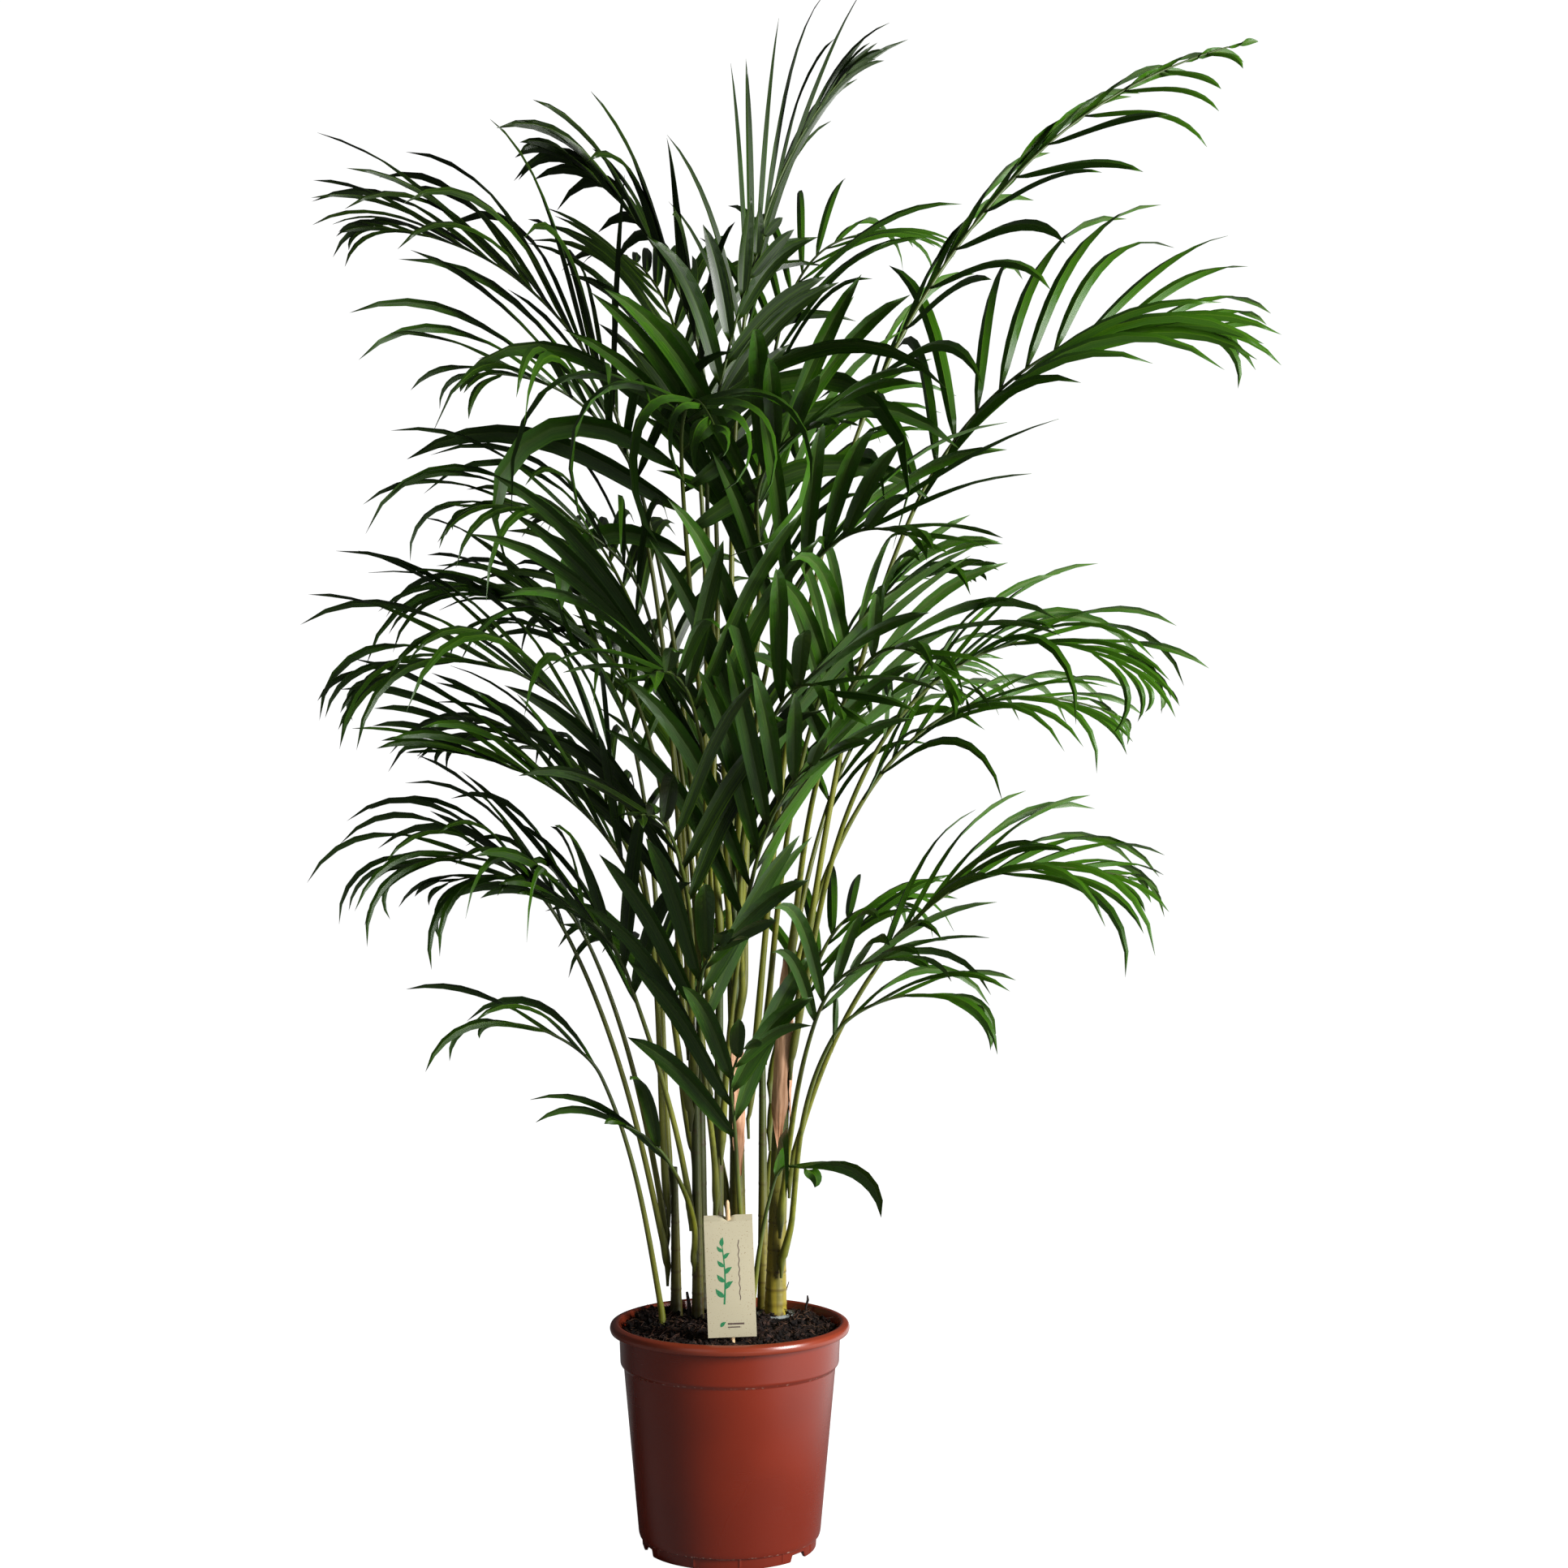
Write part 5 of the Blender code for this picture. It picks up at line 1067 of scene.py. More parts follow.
def shape_foot(radius, height, angles):
    """Lifts the foot ring at its notches, and thickens it a little at each of its pips."""
    ring = (radius > FOOT_RADIUS - WALL - FOOT_RING_WIDTH * 0.8) & (height < FOOT_HEIGHT)
    off_notch = from_nearest(angles, NOTCH_TURN, NOTCH_COUNT) * FOOT_RADIUS
    open_share = np.clip((NOTCH_WIDTH / 2 - off_notch) / NOTCH_SLOPE, 0, 1)
    lift = NOTCH_HEIGHT * open_share * open_share * (3 - 2 * open_share)
    height = np.where(ring, lift + height * (1 - lift / FOOT_HEIGHT), height)
    off_pip = from_nearest(angles, PIP_TURN, PIP_COUNT) * FOOT_RADIUS
    outer = (radius > FOOT_RADIUS - 0.5 * MM) & (height > FOOT_HEIGHT * 0.25) & (height < FOOT_HEIGHT * 1.01)
    radius = np.where(outer, radius + PIP_HEIGHT * np.exp(-((off_pip / PIP_WIDTH) ** 2) * 3), radius)
    return radius, height


def pot_material():
    """Satin moulded plastic: mottled a little, with scuffs round it and pale dust where it steps in."""
    material, shader, wires = new_material("terracotta_plastic")
    where = object_place(wires)
    axes = wires.node("ShaderNodeSeparateXYZ", {"Vector": where})
    x, y, z = (wires.out(axes, name) for name in "XYZ")
    around = wires.math("ARCTAN2", y, x)
    mottle, deeper = patches_on(wires, where, 7.0, 2.0, (0.3, 0.7))
    wrapped = wires.node("ShaderNodeCombineXYZ", {"X": wires.math("MULTIPLY", around, 2.2), "Y": z, "Z": 0.0})
    bands = wires.node("ShaderNodeMapping", {"Vector": wrapped.outputs[0], "Scale": (1.0, 420.0, 1.0)}).outputs[0]
    scratch = wires.node("ShaderNodeTexNoise", {"Vector": bands, "Scale": 1.0, "Detail": 4.0}).outputs["Fac"]
    _, handled = patches_on(wires, where, 9.0, 2.0, (0.55, 0.7))
    scuffed = wires.math("MULTIPLY", wires.ramp(scratch, ((0.62, 0), (0.72, 1))), handled)

    tone = wires.mix(deeper, POT_RED, POT_DEEP)
    lip = wires.ramp(z, ((BAND_TOP - MM, 0.0), (BAND_TOP + 4 * MM, 0.2)))
    tone = wires.mix(lip, tone, POT_CHALKY)
    tone = wires.mix(wires.math("MULTIPLY", scuffed, 0.35), tone, POT_SCUFF)
    for height, reach, amount in ((FOOT_HEIGHT, 1.6 * MM, 0.9), (BAND_BOTTOM - BAND_STEP, 1.4 * MM, 0.35)):
        off = wires.math("ABSOLUTE", wires.math("SUBTRACT", z, height + 0.4 * MM))
        line = wires.ramp(off, ((0.0, 1.0), (reach, 0.0)))
        _, flecks = patches_on(wires, where, 260.0, 3.0, (0.54, 0.66), amount)
        tone = wires.mix(wires.math("MULTIPLY", line, flecks), tone, DUST)
    wires.plug(shader.inputs["Base Color"], tone)
    rough = wires.math("ADD", 0.24, wires.math("MULTIPLY", mottle, 0.06))
    wires.plug(shader.inputs["Roughness"], wires.math("ADD", rough, wires.math("MULTIPLY", scuffed, 0.2)))
    grain = wires.node("ShaderNodeTexNoise", {"Vector": where, "Scale": 700.0, "Detail": 2.0}).outputs["Fac"]
    relief = wires.math("ADD", grain, wires.math("MULTIPLY", scratch, 0.8))
    raise_by(wires, shader, relief, 0.10, 0.15 * MM)
    return material


def make_pot():
    """The pot, turned, notched and drilled."""
    pot = lathe("pot_shell", pot_outline(), POT_SIDES, pot_material(), smooth=32, reshape=shape_foot)
    radius = (PAD_RADIUS + PAD_SLOPE + FOOT_RADIUS - WALL - FOOT_RING_WIDTH) / 2
    drills = []
    for index in range(NOTCH_COUNT):
        angle = NOTCH_TURN + (index + 0.5) * 2 * math.pi / NOTCH_COUNT
        foot = Vector((radius * math.cos(angle), radius * math.sin(angle), 0))
        corners = tube_corners([foot, foot + UP * WALL * 6], [DRAIN_RADIUS] * 2, 24)
        drill = object_from(f"drill_{index + 1}", corners, ring_faces(2, 24), pot.data.materials[0])
        boolean = pot.modifiers.new(drill.name, "BOOLEAN")
        boolean.operation = "DIFFERENCE"
        boolean.object = drill
        drills.append(drill)
    pot = settled_mesh(pot, "pot_shell")
    for drill in drills:
        bpy.data.objects.remove(drill, do_unlink=True)
    place(pot, "pot")


# ---------------------------------------------------------------- soil


SOIL_EDGE = POT_HEIGHT - 11 * MM
SOIL_MOUND = 7 * MM
SEAT_GAP = 0.4 * MM
SOIL_SIDES = 200
SOIL_RINGS = 80
# Where the peat is heaped: its middle, its height and how far it spreads.
HEAPS = ((-0.077, 0.052, 11 * MM, 0.019), (0.075, 0.045, 4 * MM, 0.022))

PEAT_DARK = colour(14, 8, 6)
PEAT_BROWN = colour(40, 24, 16)
FIBRE = colour(104, 70, 44)
BARK = colour(66, 38, 24)
TWIG_DARK = colour(34, 22, 16)
TWIG_BROWN = colour(98, 62, 36)


def soil_lumps(x, y):
    """How far loose peat rises at a place: a heap by each side's back edge, and crumbs of all sizes."""
    heap = sum(high * math.exp(-((x - at_x) ** 2 + (y - at_y) ** 2) / wide**2) for at_x, at_y, high, wide in HEAPS)
    coarse = noise.noise(Vector((x * 70, y * 70, 3))) * 2.6 * MM
    middling = (abs(noise.noise(Vector((x * 170, y * 170, 8)))) - 0.2) * 4.5 * MM
    fine = noise.noise(Vector((x * 420, y * 420, 1))) * 1.0 * MM
    return heap + coarse + middling + fine


def make_soil_bed(material):
    """The bed of peat, filling the pot; its top is lumpy and its sides follow the pot."""
    low = FOOT_RADIUS + FOOT_STEP
    sides = [
        (BAND_RADIUS - WALL - SEAT_GAP, SOIL_EDGE - 2 * MM),
        (BAND_RADIUS - WALL - EASING - SEAT_GAP, BAND_BOTTOM + SEAT_GAP),
        (BAND_RADIUS - WALL - EASING - BAND_STEP - SEAT_GAP, BAND_BOTTOM - BAND_STEP + SEAT_GAP),
        (low - WALL - SEAT_GAP, FOOT_HEIGHT + FOOT_STEP + SEAT_GAP),
        (FOOT_RADIUS - WALL - EASING - SEAT_GAP, CHANNEL_RISE + WALL + SEAT_GAP),
        (PAD_RADIUS + PAD_SLOPE * 0.75, CHANNEL_RISE + WALL + SEAT_GAP),
        (PAD_RADIUS - EASING / 2 - SEAT_GAP, WALL + SEAT_GAP),
        (0.0, WALL + SEAT_GAP),
    ]
    top = [Vector((SOIL_RADIUS * k / SOIL_RINGS, SOIL_EDGE)) for k in range(SOIL_RINGS + 1)]
    outline = top + [Vector(p) for p in sides]
    bed = lathe("soil_bed", outline, SOIL_SIDES, material, smooth=80)
    centre = (SOIL_RINGS + len(sides) - 1) * SOIL_SIDES
    marks = np.zeros(len(bed.data.vertices))
    for i, vertex in enumerate(bed.data.vertices):
        if i < SOIL_RINGS * SOIL_SIDES or i == centre:
            x, y, _ = vertex.co
            share = min(1.0, (x * x + y * y) / SOIL_RADIUS**2)
            calm = min(1.0, (1 - share) * 12)
            vertex.co.z = SOIL_EDGE + SOIL_MOUND * (1 - share) + soil_lumps(x, y) * (0.35 + 0.65 * calm)
            marks[i] = 1.0 if share < 0.985 else 0.0
    set_attribute(bed, "open_soil", marks)
    return bed


def soil_material():
    """Damp peat, nearly black in the hollows and browner where it has dried."""
    material, shader, wires = new_material("damp_peat")
    where = object_place(wires)
    _, clods = patches_on(wires, where, 130.0, 6.0, (0.42, 0.72))
    _, dry = patches_on(wires, where, 26.0, 3.0, (0.3, 0.7), 0.65)
    share = wires.math("MULTIPLY", clods, wires.math("ADD", dry, 0.35))
    wires.plug(shader.inputs["Base Color"], wires.mix(share, PEAT_DARK, PEAT_BROWN))
    shader.inputs["Roughness"].default_value = 0.88
    shader.inputs["Specular IOR Level"].default_value = 0.25
    grit = wires.node("ShaderNodeTexNoise", {"Vector": where, "Scale": 900.0, "Detail": 4.0}).outputs["Fac"]
    raise_by(wires, shader, grit, 0.8, 0.6 * MM)
    return material


def woody_material(name, pale, dark, scale):
    """Rough plant stuff: fibres, bark and twigs, streaked from pale to dark."""
    material, shader, wires = new_material(name)
    streak, darker = patches_on(wires, object_place(wires), scale, 4.0, (0.35, 0.65))
    wires.plug(shader.inputs["Base Color"], wires.mix(darker, pale, dark))
    shader.inputs["Roughness"].default_value = 0.8
    raise_by(wires, shader, streak, 0.5, 0.3 * MM)
    return material


def crumb_template(name, detail, stretch, roughness, seed):
    """A lump about a unit across, for scattering."""
    bm = bmesh.new()
    bmesh.ops.create_icosphere(bm, subdivisions=detail, radius=0.5)
    for v in bm.verts:
        v.co *= 1 + roughness * noise.noise(v.co * 2.6 + Vector((seed, 0, 0)))
        v.co = Vector((v.co.x * stretch[0], v.co.y * stretch[1], v.co.z * stretch[2]))
    mesh = bpy.data.meshes.new(name)
    bm.to_mesh(mesh)
    bm.free()
    obj = bpy.data.objects.new(name, mesh)
    bpy.context.scene.collection.objects.link(obj)
    return obj


def fibre_template(name, bow, seed):
    """A bent fibre a unit long, for scattering."""
    points = []
    for k in range(6):
        t = k / 5
        points.append(Vector((t - 0.5, bow * math.sin(math.pi * t), 0.12 * noise.noise(Vector((t * 3, seed, 0))))))
    radii = [0.018, 0.026, 0.028, 0.026, 0.02, 0.008]
    mesh = bpy.data.meshes.new(name)
    mesh.from_pydata([tuple(c) for c in tube_corners(points, radii, 4)], [], ring_faces(6, 4))
    finish_mesh(mesh, None)
    obj = bpy.data.objects.new(name, mesh)
    bpy.context.scene.collection.objects.link(obj)
    return obj


def scatter_tree():
    """Scatters copies of one shape over the open soil, and hands the bed on with them."""
    tree = bpy.data.node_groups.new("scatter", "GeometryNodeTree")
    sockets = (
        ("Bed", "NodeSocketGeometry"),
        ("Shape", "NodeSocketObject"),
        ("Density", "NodeSocketFloat"),
        ("Smallest", "NodeSocketFloat"),
        ("Largest", "NodeSocketFloat"),
        ("Tumble", "NodeSocketFloat"),
        ("Rise", "NodeSocketFloat"),
        ("Seed", "NodeSocketInt"),
        ("Finish", "NodeSocketMaterial"),
    )
    for name, kind in sockets:
        tree.interface.new_socket(name, in_out="INPUT", socket_type=kind)
    tree.interface.new_socket("Littered Bed", in_out="OUTPUT", socket_type="NodeSocketGeometry")
    wires = Wires(tree)
    given = wires.node("NodeGroupInput").outputs
    open_soil = wires.math("GREATER_THAN", recalled(wires, "open_soil"), 0.5)
    spread = {"Mesh": given["Bed"], "Selection": open_soil, "Density": given["Density"], "Seed": given["Seed"]}
    points = wires.node("GeometryNodeDistributePointsOnFaces", spread).outputs["Points"]
    lifted = wires.node("ShaderNodeCombineXYZ", {"X": 0.0, "Y": 0.0, "Z": given["Rise"]}).outputs[0]
    points = wires.node("GeometryNodeSetPosition", {"Geometry": points, "Offset": lifted}).outputs[0]
    tumble = wires.node("ShaderNodeCombineXYZ", {"X": given["Tumble"], "Y": given["Tumble"], "Z": math.pi}).outputs[0]
    back = wires.vector("SCALE", tumble, -1.0)
    turn = wires.node("FunctionNodeRandomValue", data_type="FLOAT_VECTOR")
    wires.plug(turn.inputs[0], back)
    wires.plug(turn.inputs[1], tumble)
    wires.plug(turn.inputs["Seed"], given["Seed"])
    size = wires.node("FunctionNodeRandomValue", {"Seed": given["Seed"]}, data_type="FLOAT")
    wires.plug(size.inputs[2], given["Smallest"])
    wires.plug(size.inputs[3], given["Largest"])
    shape = wires.node("GeometryNodeObjectInfo", {"Object": given["Shape"]}).outputs["Geometry"]
    copies = {"Points": points, "Instance": shape, "Rotation": turn.outputs[0], "Scale": size.outputs[1]}
    copies = wires.node("GeometryNodeInstanceOnPoints", copies).outputs[0]
    solid = wires.node("GeometryNodeRealizeInstances", {"Geometry": copies}).outputs[0]
    solid = wires.node("GeometryNodeSetMaterial", {"Geometry": solid, "Material": given["Finish"]}).outputs[0]
    both = wires.node("GeometryNodeJoinGeometry")
    tree.links.new(solid, both.inputs[0])
    tree.links.new(given["Bed"], both.inputs[0])
    wires.node("NodeGroupOutput", {"Littered Bed": both.outputs[0]})
    return tree


# What lies on the soil: its shape, how many to the square metre, its smallest and largest size in millimetres, how
# far it may tumble in radians, how many millimetres it is raised, and its finish.
Litter = namedtuple("Litter", "shape density smallest largest tumble rise finish")


def twig(name, points, radii, material):
    """A short bare twig stuck in the soil, from points in metres."""
    points = [Vector(p) for p in points]
    return object_from(name, tube_corners(points, radii, 8), ring_faces(len(points), 8), material, 60)


def make_soil():
    """The bed of peat with its litter and twigs, as one piece."""
    peat = soil_material()
    fibre = woody_material("dry_fibre", FIBRE, PEAT_BROWN, 160.0)
    bark = woody_material("bark_chip", BARK, PEAT_BROWN, 220.0)
    dark_twig = woody_material("dark_twig", TWIG_DARK, PEAT_DARK, 300.0)
    brown_twig = woody_material("brown_twig", TWIG_BROWN, TWIG_DARK, 300.0)
    bed = make_soil_bed(peat)
    shapes = {
        "crumb": crumb_template("crumb", 1, (1.0, 0.85, 0.7), 0.9, 2),
        "clod": crumb_template("clod", 2, (1.0, 0.8, 0.75), 1.1, 5),
        "chip": crumb_template("chip", 1, (1.6, 0.7, 0.22), 0.5, 9),
        "fibre": fibre_template("fibre", 0.14, 1),
        "hair": fibre_template("hair", -0.22, 4),
    }
    litter = (
        Litter("crumb", 42000, 1.6, 4.2, 3.1, 0.2, peat),
        Litter("clod", 5200, 3.6, 8.5, 3.1, 0.6, peat),
        Litter("chip", 2600, 2.6, 6.5, 0.7, 0.8, bark),
        Litter("fibre", 4200, 4.0, 14.0, 0.5, 1.2, fibre),
        Litter("hair", 2200, 6.0, 17.0, 0.8, 2.0, bark),
    )
    tree = scatter_tree()
    for seed, row in enumerate(litter):
        modifier = bed.modifiers.new(row.shape, "NODES")
        modifier.node_group = tree
        set_inputs(
            modifier,
            **{
                "Shape": shapes[row.shape],
                "Density": float(row.density),
                "Smallest": row.smallest * MM,
                "Largest": row.largest * MM,
                "Tumble": row.tumble,
                "Rise": row.rise * MM,
                "Seed": seed * 11 + 5,
                "Finish": row.finish,
            },
        )
    bed = settled_mesh(bed, "soil_littered")
    for shape in shapes.values():
        bpy.data.objects.remove(shape, do_unlink=True)
    level = SOIL_TOP - 6 * MM
    stub = [(-0.041, 0.020, level), (-0.0415, 0.020, level + 0.022), (-0.0435, 0.019, level + 0.034)]
    bent = [(0.0525, 0.062, level), (0.0545, 0.062, level + 0.014), (0.0555, 0.061, level + 0.025)]
    bent.append((0.059, 0.061, level + 0.036))
    short = [(0.0755, 0.072, level - 0.006), (0.0765, 0.072, level + 0.008), (0.0785, 0.071, level + 0.0155)]
    short.append((0.0780, 0.070, level + 0.020))
    root = [(-0.070, -0.030, level - 0.004), (-0.062, -0.034, level + 0.010), (-0.052, -0.040, level + 0.008)]
    root.append((-0.045, -0.047, level - 0.004))
    twigs = [
        twig("stub", stub, [2.2 * MM, 2.0 * MM, 1.3 * MM], dark_twig),
        twig("brown_twig", bent, [0.9 * MM, 0.8 * MM, 0.7 * MM, 0.4 * MM], brown_twig),
        twig("short_twig", short, [1.2 * MM, 1.1 * MM, 1.4 * MM, 0.8 * MM], dark_twig),
        twig("left_root", root, [0.7 * MM, 0.6 * MM, 0.6 * MM, 0.5 * MM], brown_twig),
    ]
    place(joined("soil_top", [bed, *twigs]), "soil")


# ---------------------------------------------------------------- canes


CANE_SIDES = 28
CANE_STEP = 2 * MM
FIRST_SCAR = 11 * MM
FIRST_GAP = 15 * MM
GAP_GROWTH = 1.22

CANE_OLIVE = colour(100, 98, 28)
CANE_YELLOW = colour(152, 136, 42)
CANE_GREEN = colour(70, 88, 28)
CANE_SHADE = colour(50, 60, 20)
CANE_BROWN = colour(66, 42, 20)
CANE_BLACK = colour(34, 30, 16)
PAPER_PINK = colour(226, 178, 142)
PAPER_BROWN = colour(168, 112, 74)

# How green-black each cane is: 0 is the yellow one, 1 the darkest.
CANE_DARKNESS = {
    "cane_1": 0.0, "cane_2": 0.4, "cane_3": 0.7, "cane_4": 0.65,
    "cane_5": 0.45, "cane_6": 0.2, "cane_7": 0.75, "cane_8": 0.5,
}


def scar_heights(top):
    """Heights above the soil of the rings left by fallen fronds, further apart the higher they are."""
    heights, at, gap = [], FIRST_SCAR, FIRST_GAP
    while at < top:
        heights.append(at)
        at += gap
        gap *= GAP_GROWTH
    return np.array(heights)


def cane_material():
    """Waxy cane: yellow-olive low down, greener above, with brown rings and dark specks."""
    material, shader, wires = new_material("cane_rind")
    where = object_place(wires)
    height = wires.node("ShaderNodeAttribute", attribute_name="cane_height").outputs["Fac"]
    scar = wires.node("ShaderNodeAttribute", attribute_name="scar").outputs["Fac"]
    dark = wires.node("ShaderNodeAttribute", attribute_name="darkness").outputs["Fac"]
    grain, lines = grain_on(wires, where, 200.0, 16.0, 4.0, (0.40, 0.75), 0.6)
    patch, stain = patches_on(wires, where, 48.0, 5.0, (0.60, 0.70), 0.7)
    speck = wires.node("ShaderNodeTexVoronoi", {"Vector": where, "Scale": 300.0}, feature="F1").outputs["Distance"]
    tone = wires.mix(wires.ramp(height, ((0.0, 0.0), (0.16, 1.0))), CANE_YELLOW, CANE_OLIVE)
    tone = wires.mix(wires.ramp(height, ((0.08, 0.0), (0.30, 1.0))), tone, CANE_GREEN)
    tone = wires.mix(dark, tone, CANE_SHADE)
    tone = wires.mix(lines, tone, CANE_SHADE)
    foot = wires.math("MULTIPLY", wires.ramp(height, ((0.0, 1.0), (0.045, 0.0))), dark)
    tone = wires.mix(foot, tone, CANE_BLACK)
    tone = wires.mix(stain, tone, CANE_BROWN)
    dots = wires.ramp(speck, ((0.12, 1.0), (0.22, 0.0)))
    dots = wires.math("MULTIPLY", dots, wires.ramp(patch, ((0.45, 0.0), (0.55, 1.0))))
    tone = wires.mix(wires.math("MULTIPLY", dots, 0.8), tone, CANE_BLACK)
    tone = wires.mix(wires.math("MULTIPLY", scar, 0.55), tone, CANE_BROWN)
    wires.plug(shader.inputs["Base Color"], tone)
    wires.plug(shader.inputs["Roughness"], wires.math("MULTIPLY_ADD", grain, 0.22, 0.36))
    relief = wires.math("MULTIPLY_ADD", patch, 0.6, grain)
    raise_by(wires, shader, relief, 0.45, 0.35 * MM)
    return material


def paper_material():
    """A dead sheath, dry as paper: pinkish tan, with brown lengthwise veins and stained edges."""
    material, shader, wires = new_material("dry_sheath")
    where = object_place(wires)
    veins, lines = grain_on(wires, where, 420.0, 9.0, 3.0, (0.35, 0.7), 0.55)
    _, stain = patches_on(wires, where, 34.0, 4.0, (0.52, 0.7), 0.9)
    low = wires.out(wires.node("ShaderNodeSeparateXYZ", {"Vector": where}), "Z")
    tone = wires.mix(lines, PAPER_PINK, PAPER_BROWN)
    tone = wires.mix(stain, tone, PAPER_BROWN)
    tone = wires.mix(wires.ramp(low, ((0.36, 0.8), (0.45, 0.0))), tone, PAPER_BROWN)
    wires.plug(shader.inputs["Base Color"], tone)
    shader.inputs["Roughness"].default_value = 0.6
    raise_by(wires, shader, veins, 0.6, 0.3 * MM)
    return material


def make_cane_skin(name, cane, material):
    """A cane as a tube that swells a little at each ring, with what its finish reads kept on its corners."""
    tall = cane.top[2] * CM
    count = int(tall / CANE_STEP)
    shares = [-1.0, -0.5] + [k / count for k in range(count + 1)]
    scars = scar_heights(tall * 0.9)
    points, radii, marks, heights = [], [], [], []
    for share in shares:
        above = share * tall
        off = np.abs(scars - above).min() if len(scars) else 1.0
        under = np.abs(scars - above - 2 * MM).min() if len(scars) else 1.0
        swell = 0.045 * math.exp(-((off / (1.5 * MM)) ** 2)) - 0.03 * math.exp(-((under / (1.2 * MM)) ** 2))
        swell += 0.03 * noise.noise(Vector((above * 22, cane.base[0], cane.base[1])))
        points.append(cane_axis(cane, share))
        radii.append(cane_radius(cane, share) * (1 + swell))
        marks.append(math.exp(-((off / (1.1 * MM)) ** 2)))
        heights.append(max(above, 0.0))
    corners, faces = tube_corners(points, radii, CANE_SIDES), ring_faces(len(points), CANE_SIDES)
    obj = object_from(name, corners, faces, material, 60)
    for attribute, values in (("scar", marks), ("cane_height", heights)):
        set_attribute(obj, attribute, np.repeat(values, CANE_SIDES))
    set_attribute(obj, "darkness", [CANE_DARKNESS[name.removesuffix("_skin")]] * len(obj.data.vertices))
    return obj


def make_dry_sheath(cane, low, high, spread, middle, material, seed):
    """A torn papery sheath part of the way round a cane, between two shares of its height."""
    columns, rows = 26, 50
    outer, inner = [], []
    for i in range(rows):
        t = i / (rows - 1)
        share = low + (high - low) * t
        centre = cane_axis(cane, share)
        ragged = 1 - 0.9 * max(0.0, abs(2 * t - 1) - 0.55) / 0.45
        reach = spread * max(0.06, ragged) * (1 + 0.3 * noise.noise(Vector((t * 7, seed, 0))))
        for k in range(columns):
            u = 2 * k / (columns - 1) - 1
            angle = middle + reach * u + 0.12 * math.sin(t * 9 + seed)
            curl = 1.2 * MM + 1.6 * MM * abs(u) ** 3 * (0.4 + t)
            curl += 0.4 * MM * noise.noise(Vector((t * 12, u * 3, seed)))
            radius = cane_radius(cane, share) + curl
            way = Vector((math.cos(angle), math.sin(angle), 0))
            outer.append(centre + way * (radius + 0.5 * MM))
            inner.append(centre + way * radius)
    total = rows * columns
    faces = []
    for i in range(rows - 1):
        for k in range(columns - 1):
            a, b = i * columns + k, (i + 1) * columns + k
            faces += [(a, a + 1, b + 1, b), (total + a, total + b, total + b + 1, total + a + 1)]
    edge = list(range(columns)) + [i * columns + columns - 1 for i in range(1, rows)]
    edge += [total - 1 - k for k in range(1, columns)] + [i * columns for i in range(rows - 2, 0, -1)]
    for a, b in zip(edge, edge[1:] + edge[:1]):
        faces.append((a, b, total + b, total + a))
    return object_from("dry_sheath", outer + inner, faces, material, 50)


def make_canes():
    """Every cane, with the dry sheaths that still wrap two of them."""
    rind, paper = cane_material(), paper_material()
    for name, cane in CANES.items():
        skin = make_cane_skin(f"{name}_skin", cane, rind)
        if name == "cane_1":
            wraps = [
                make_dry_sheath(cane, 0.46, 0.99, 0.95, math.radians(256), paper, 2),
                make_dry_sheath(cane, 0.50, 0.80, 0.6, math.radians(350), paper, 6),
            ]
            skin = joined(skin.name, [skin, *wraps])
        elif name == "cane_6":
            skin = joined(skin.name, [skin, make_dry_sheath(cane, 0.30, 0.62, 0.7, math.radians(285), paper, 9)])
        place(skin, name)


# ---------------------------------------------------------------- label, peg and collar


ROOF_RISE = 4.6 * MM
ROOF_DENT = 2.6 * MM
DENT_WIDTH = 6 * MM
CARD = 0.7 * MM
LABEL_ABOVE_SOIL = 6 * MM
PEG_BURIED = 45 * MM
PRINT = 0.06 * MM

CARD_PALE = colour(192, 184, 156)
CARD_TAN = colour(184, 172, 142)
CARD_FLECK = colour(128, 98, 66)
PRINT_GREEN = colour(26, 122, 74)
PRINT_BROWN = colour(84, 66, 62)
PEG_PALE = colour(226, 196, 152)
PEG_GRAIN = colour(182, 140, 92)
PLUG_CLEAR = colour(206, 214, 212)


def card_frame():
    """Middle of the card's lower edge, and its across, front-to-back and up directions."""
    foot, head = peg_line()
    up = (head - foot).normalized()
    across = Vector((0, 1, 0)).cross(up).normalized()
    return foot + up * (PEG_BURIED + LABEL_ABOVE_SOIL), across, up.cross(across), up


def card_material():
    """Uncoated recycled card, with brown flecks and fibres."""
    material, shader, wires = new_material("recycled_card")
    where = object_place(wires)
    cloud, _ = patches_on(wires, where, 60.0, 4.0, (0.5, 0.7))
    tone = wires.mix(wires.math("MULTIPLY", cloud, 0.3), CARD_PALE, CARD_TAN)
    for scale, start, amount in ((900.0, 0.69, 0.8), (420.0, 0.72, 0.6)):
        _, fleck = patches_on(wires, where, scale, 1.0, (start, start + 0.05), amount)
        tone = wires.mix(fleck, tone, CARD_FLECK)
    wires.plug(shader.inputs["Base Color"], tone)
    shader.inputs["Roughness"].default_value = 0.85
    shader.inputs["Specular IOR Level"].default_value = 0.25
    raise_by(wires, shader, cloud, 0.25, 0.15 * MM)
    return material


def ink_material(name, ink):
    """Printing ink with the card showing through it a little."""
    material, shader, wires = new_material(name)
    _, worn = patches_on(wires, object_place(wires), 1500.0, 2.0, (0.6, 0.8), 0.7)
    wires.plug(shader.inputs["Base Color"], wires.mix(worn, ink, CARD_PALE))
    shader.inputs["Roughness"].default_value = 0.7
    return material


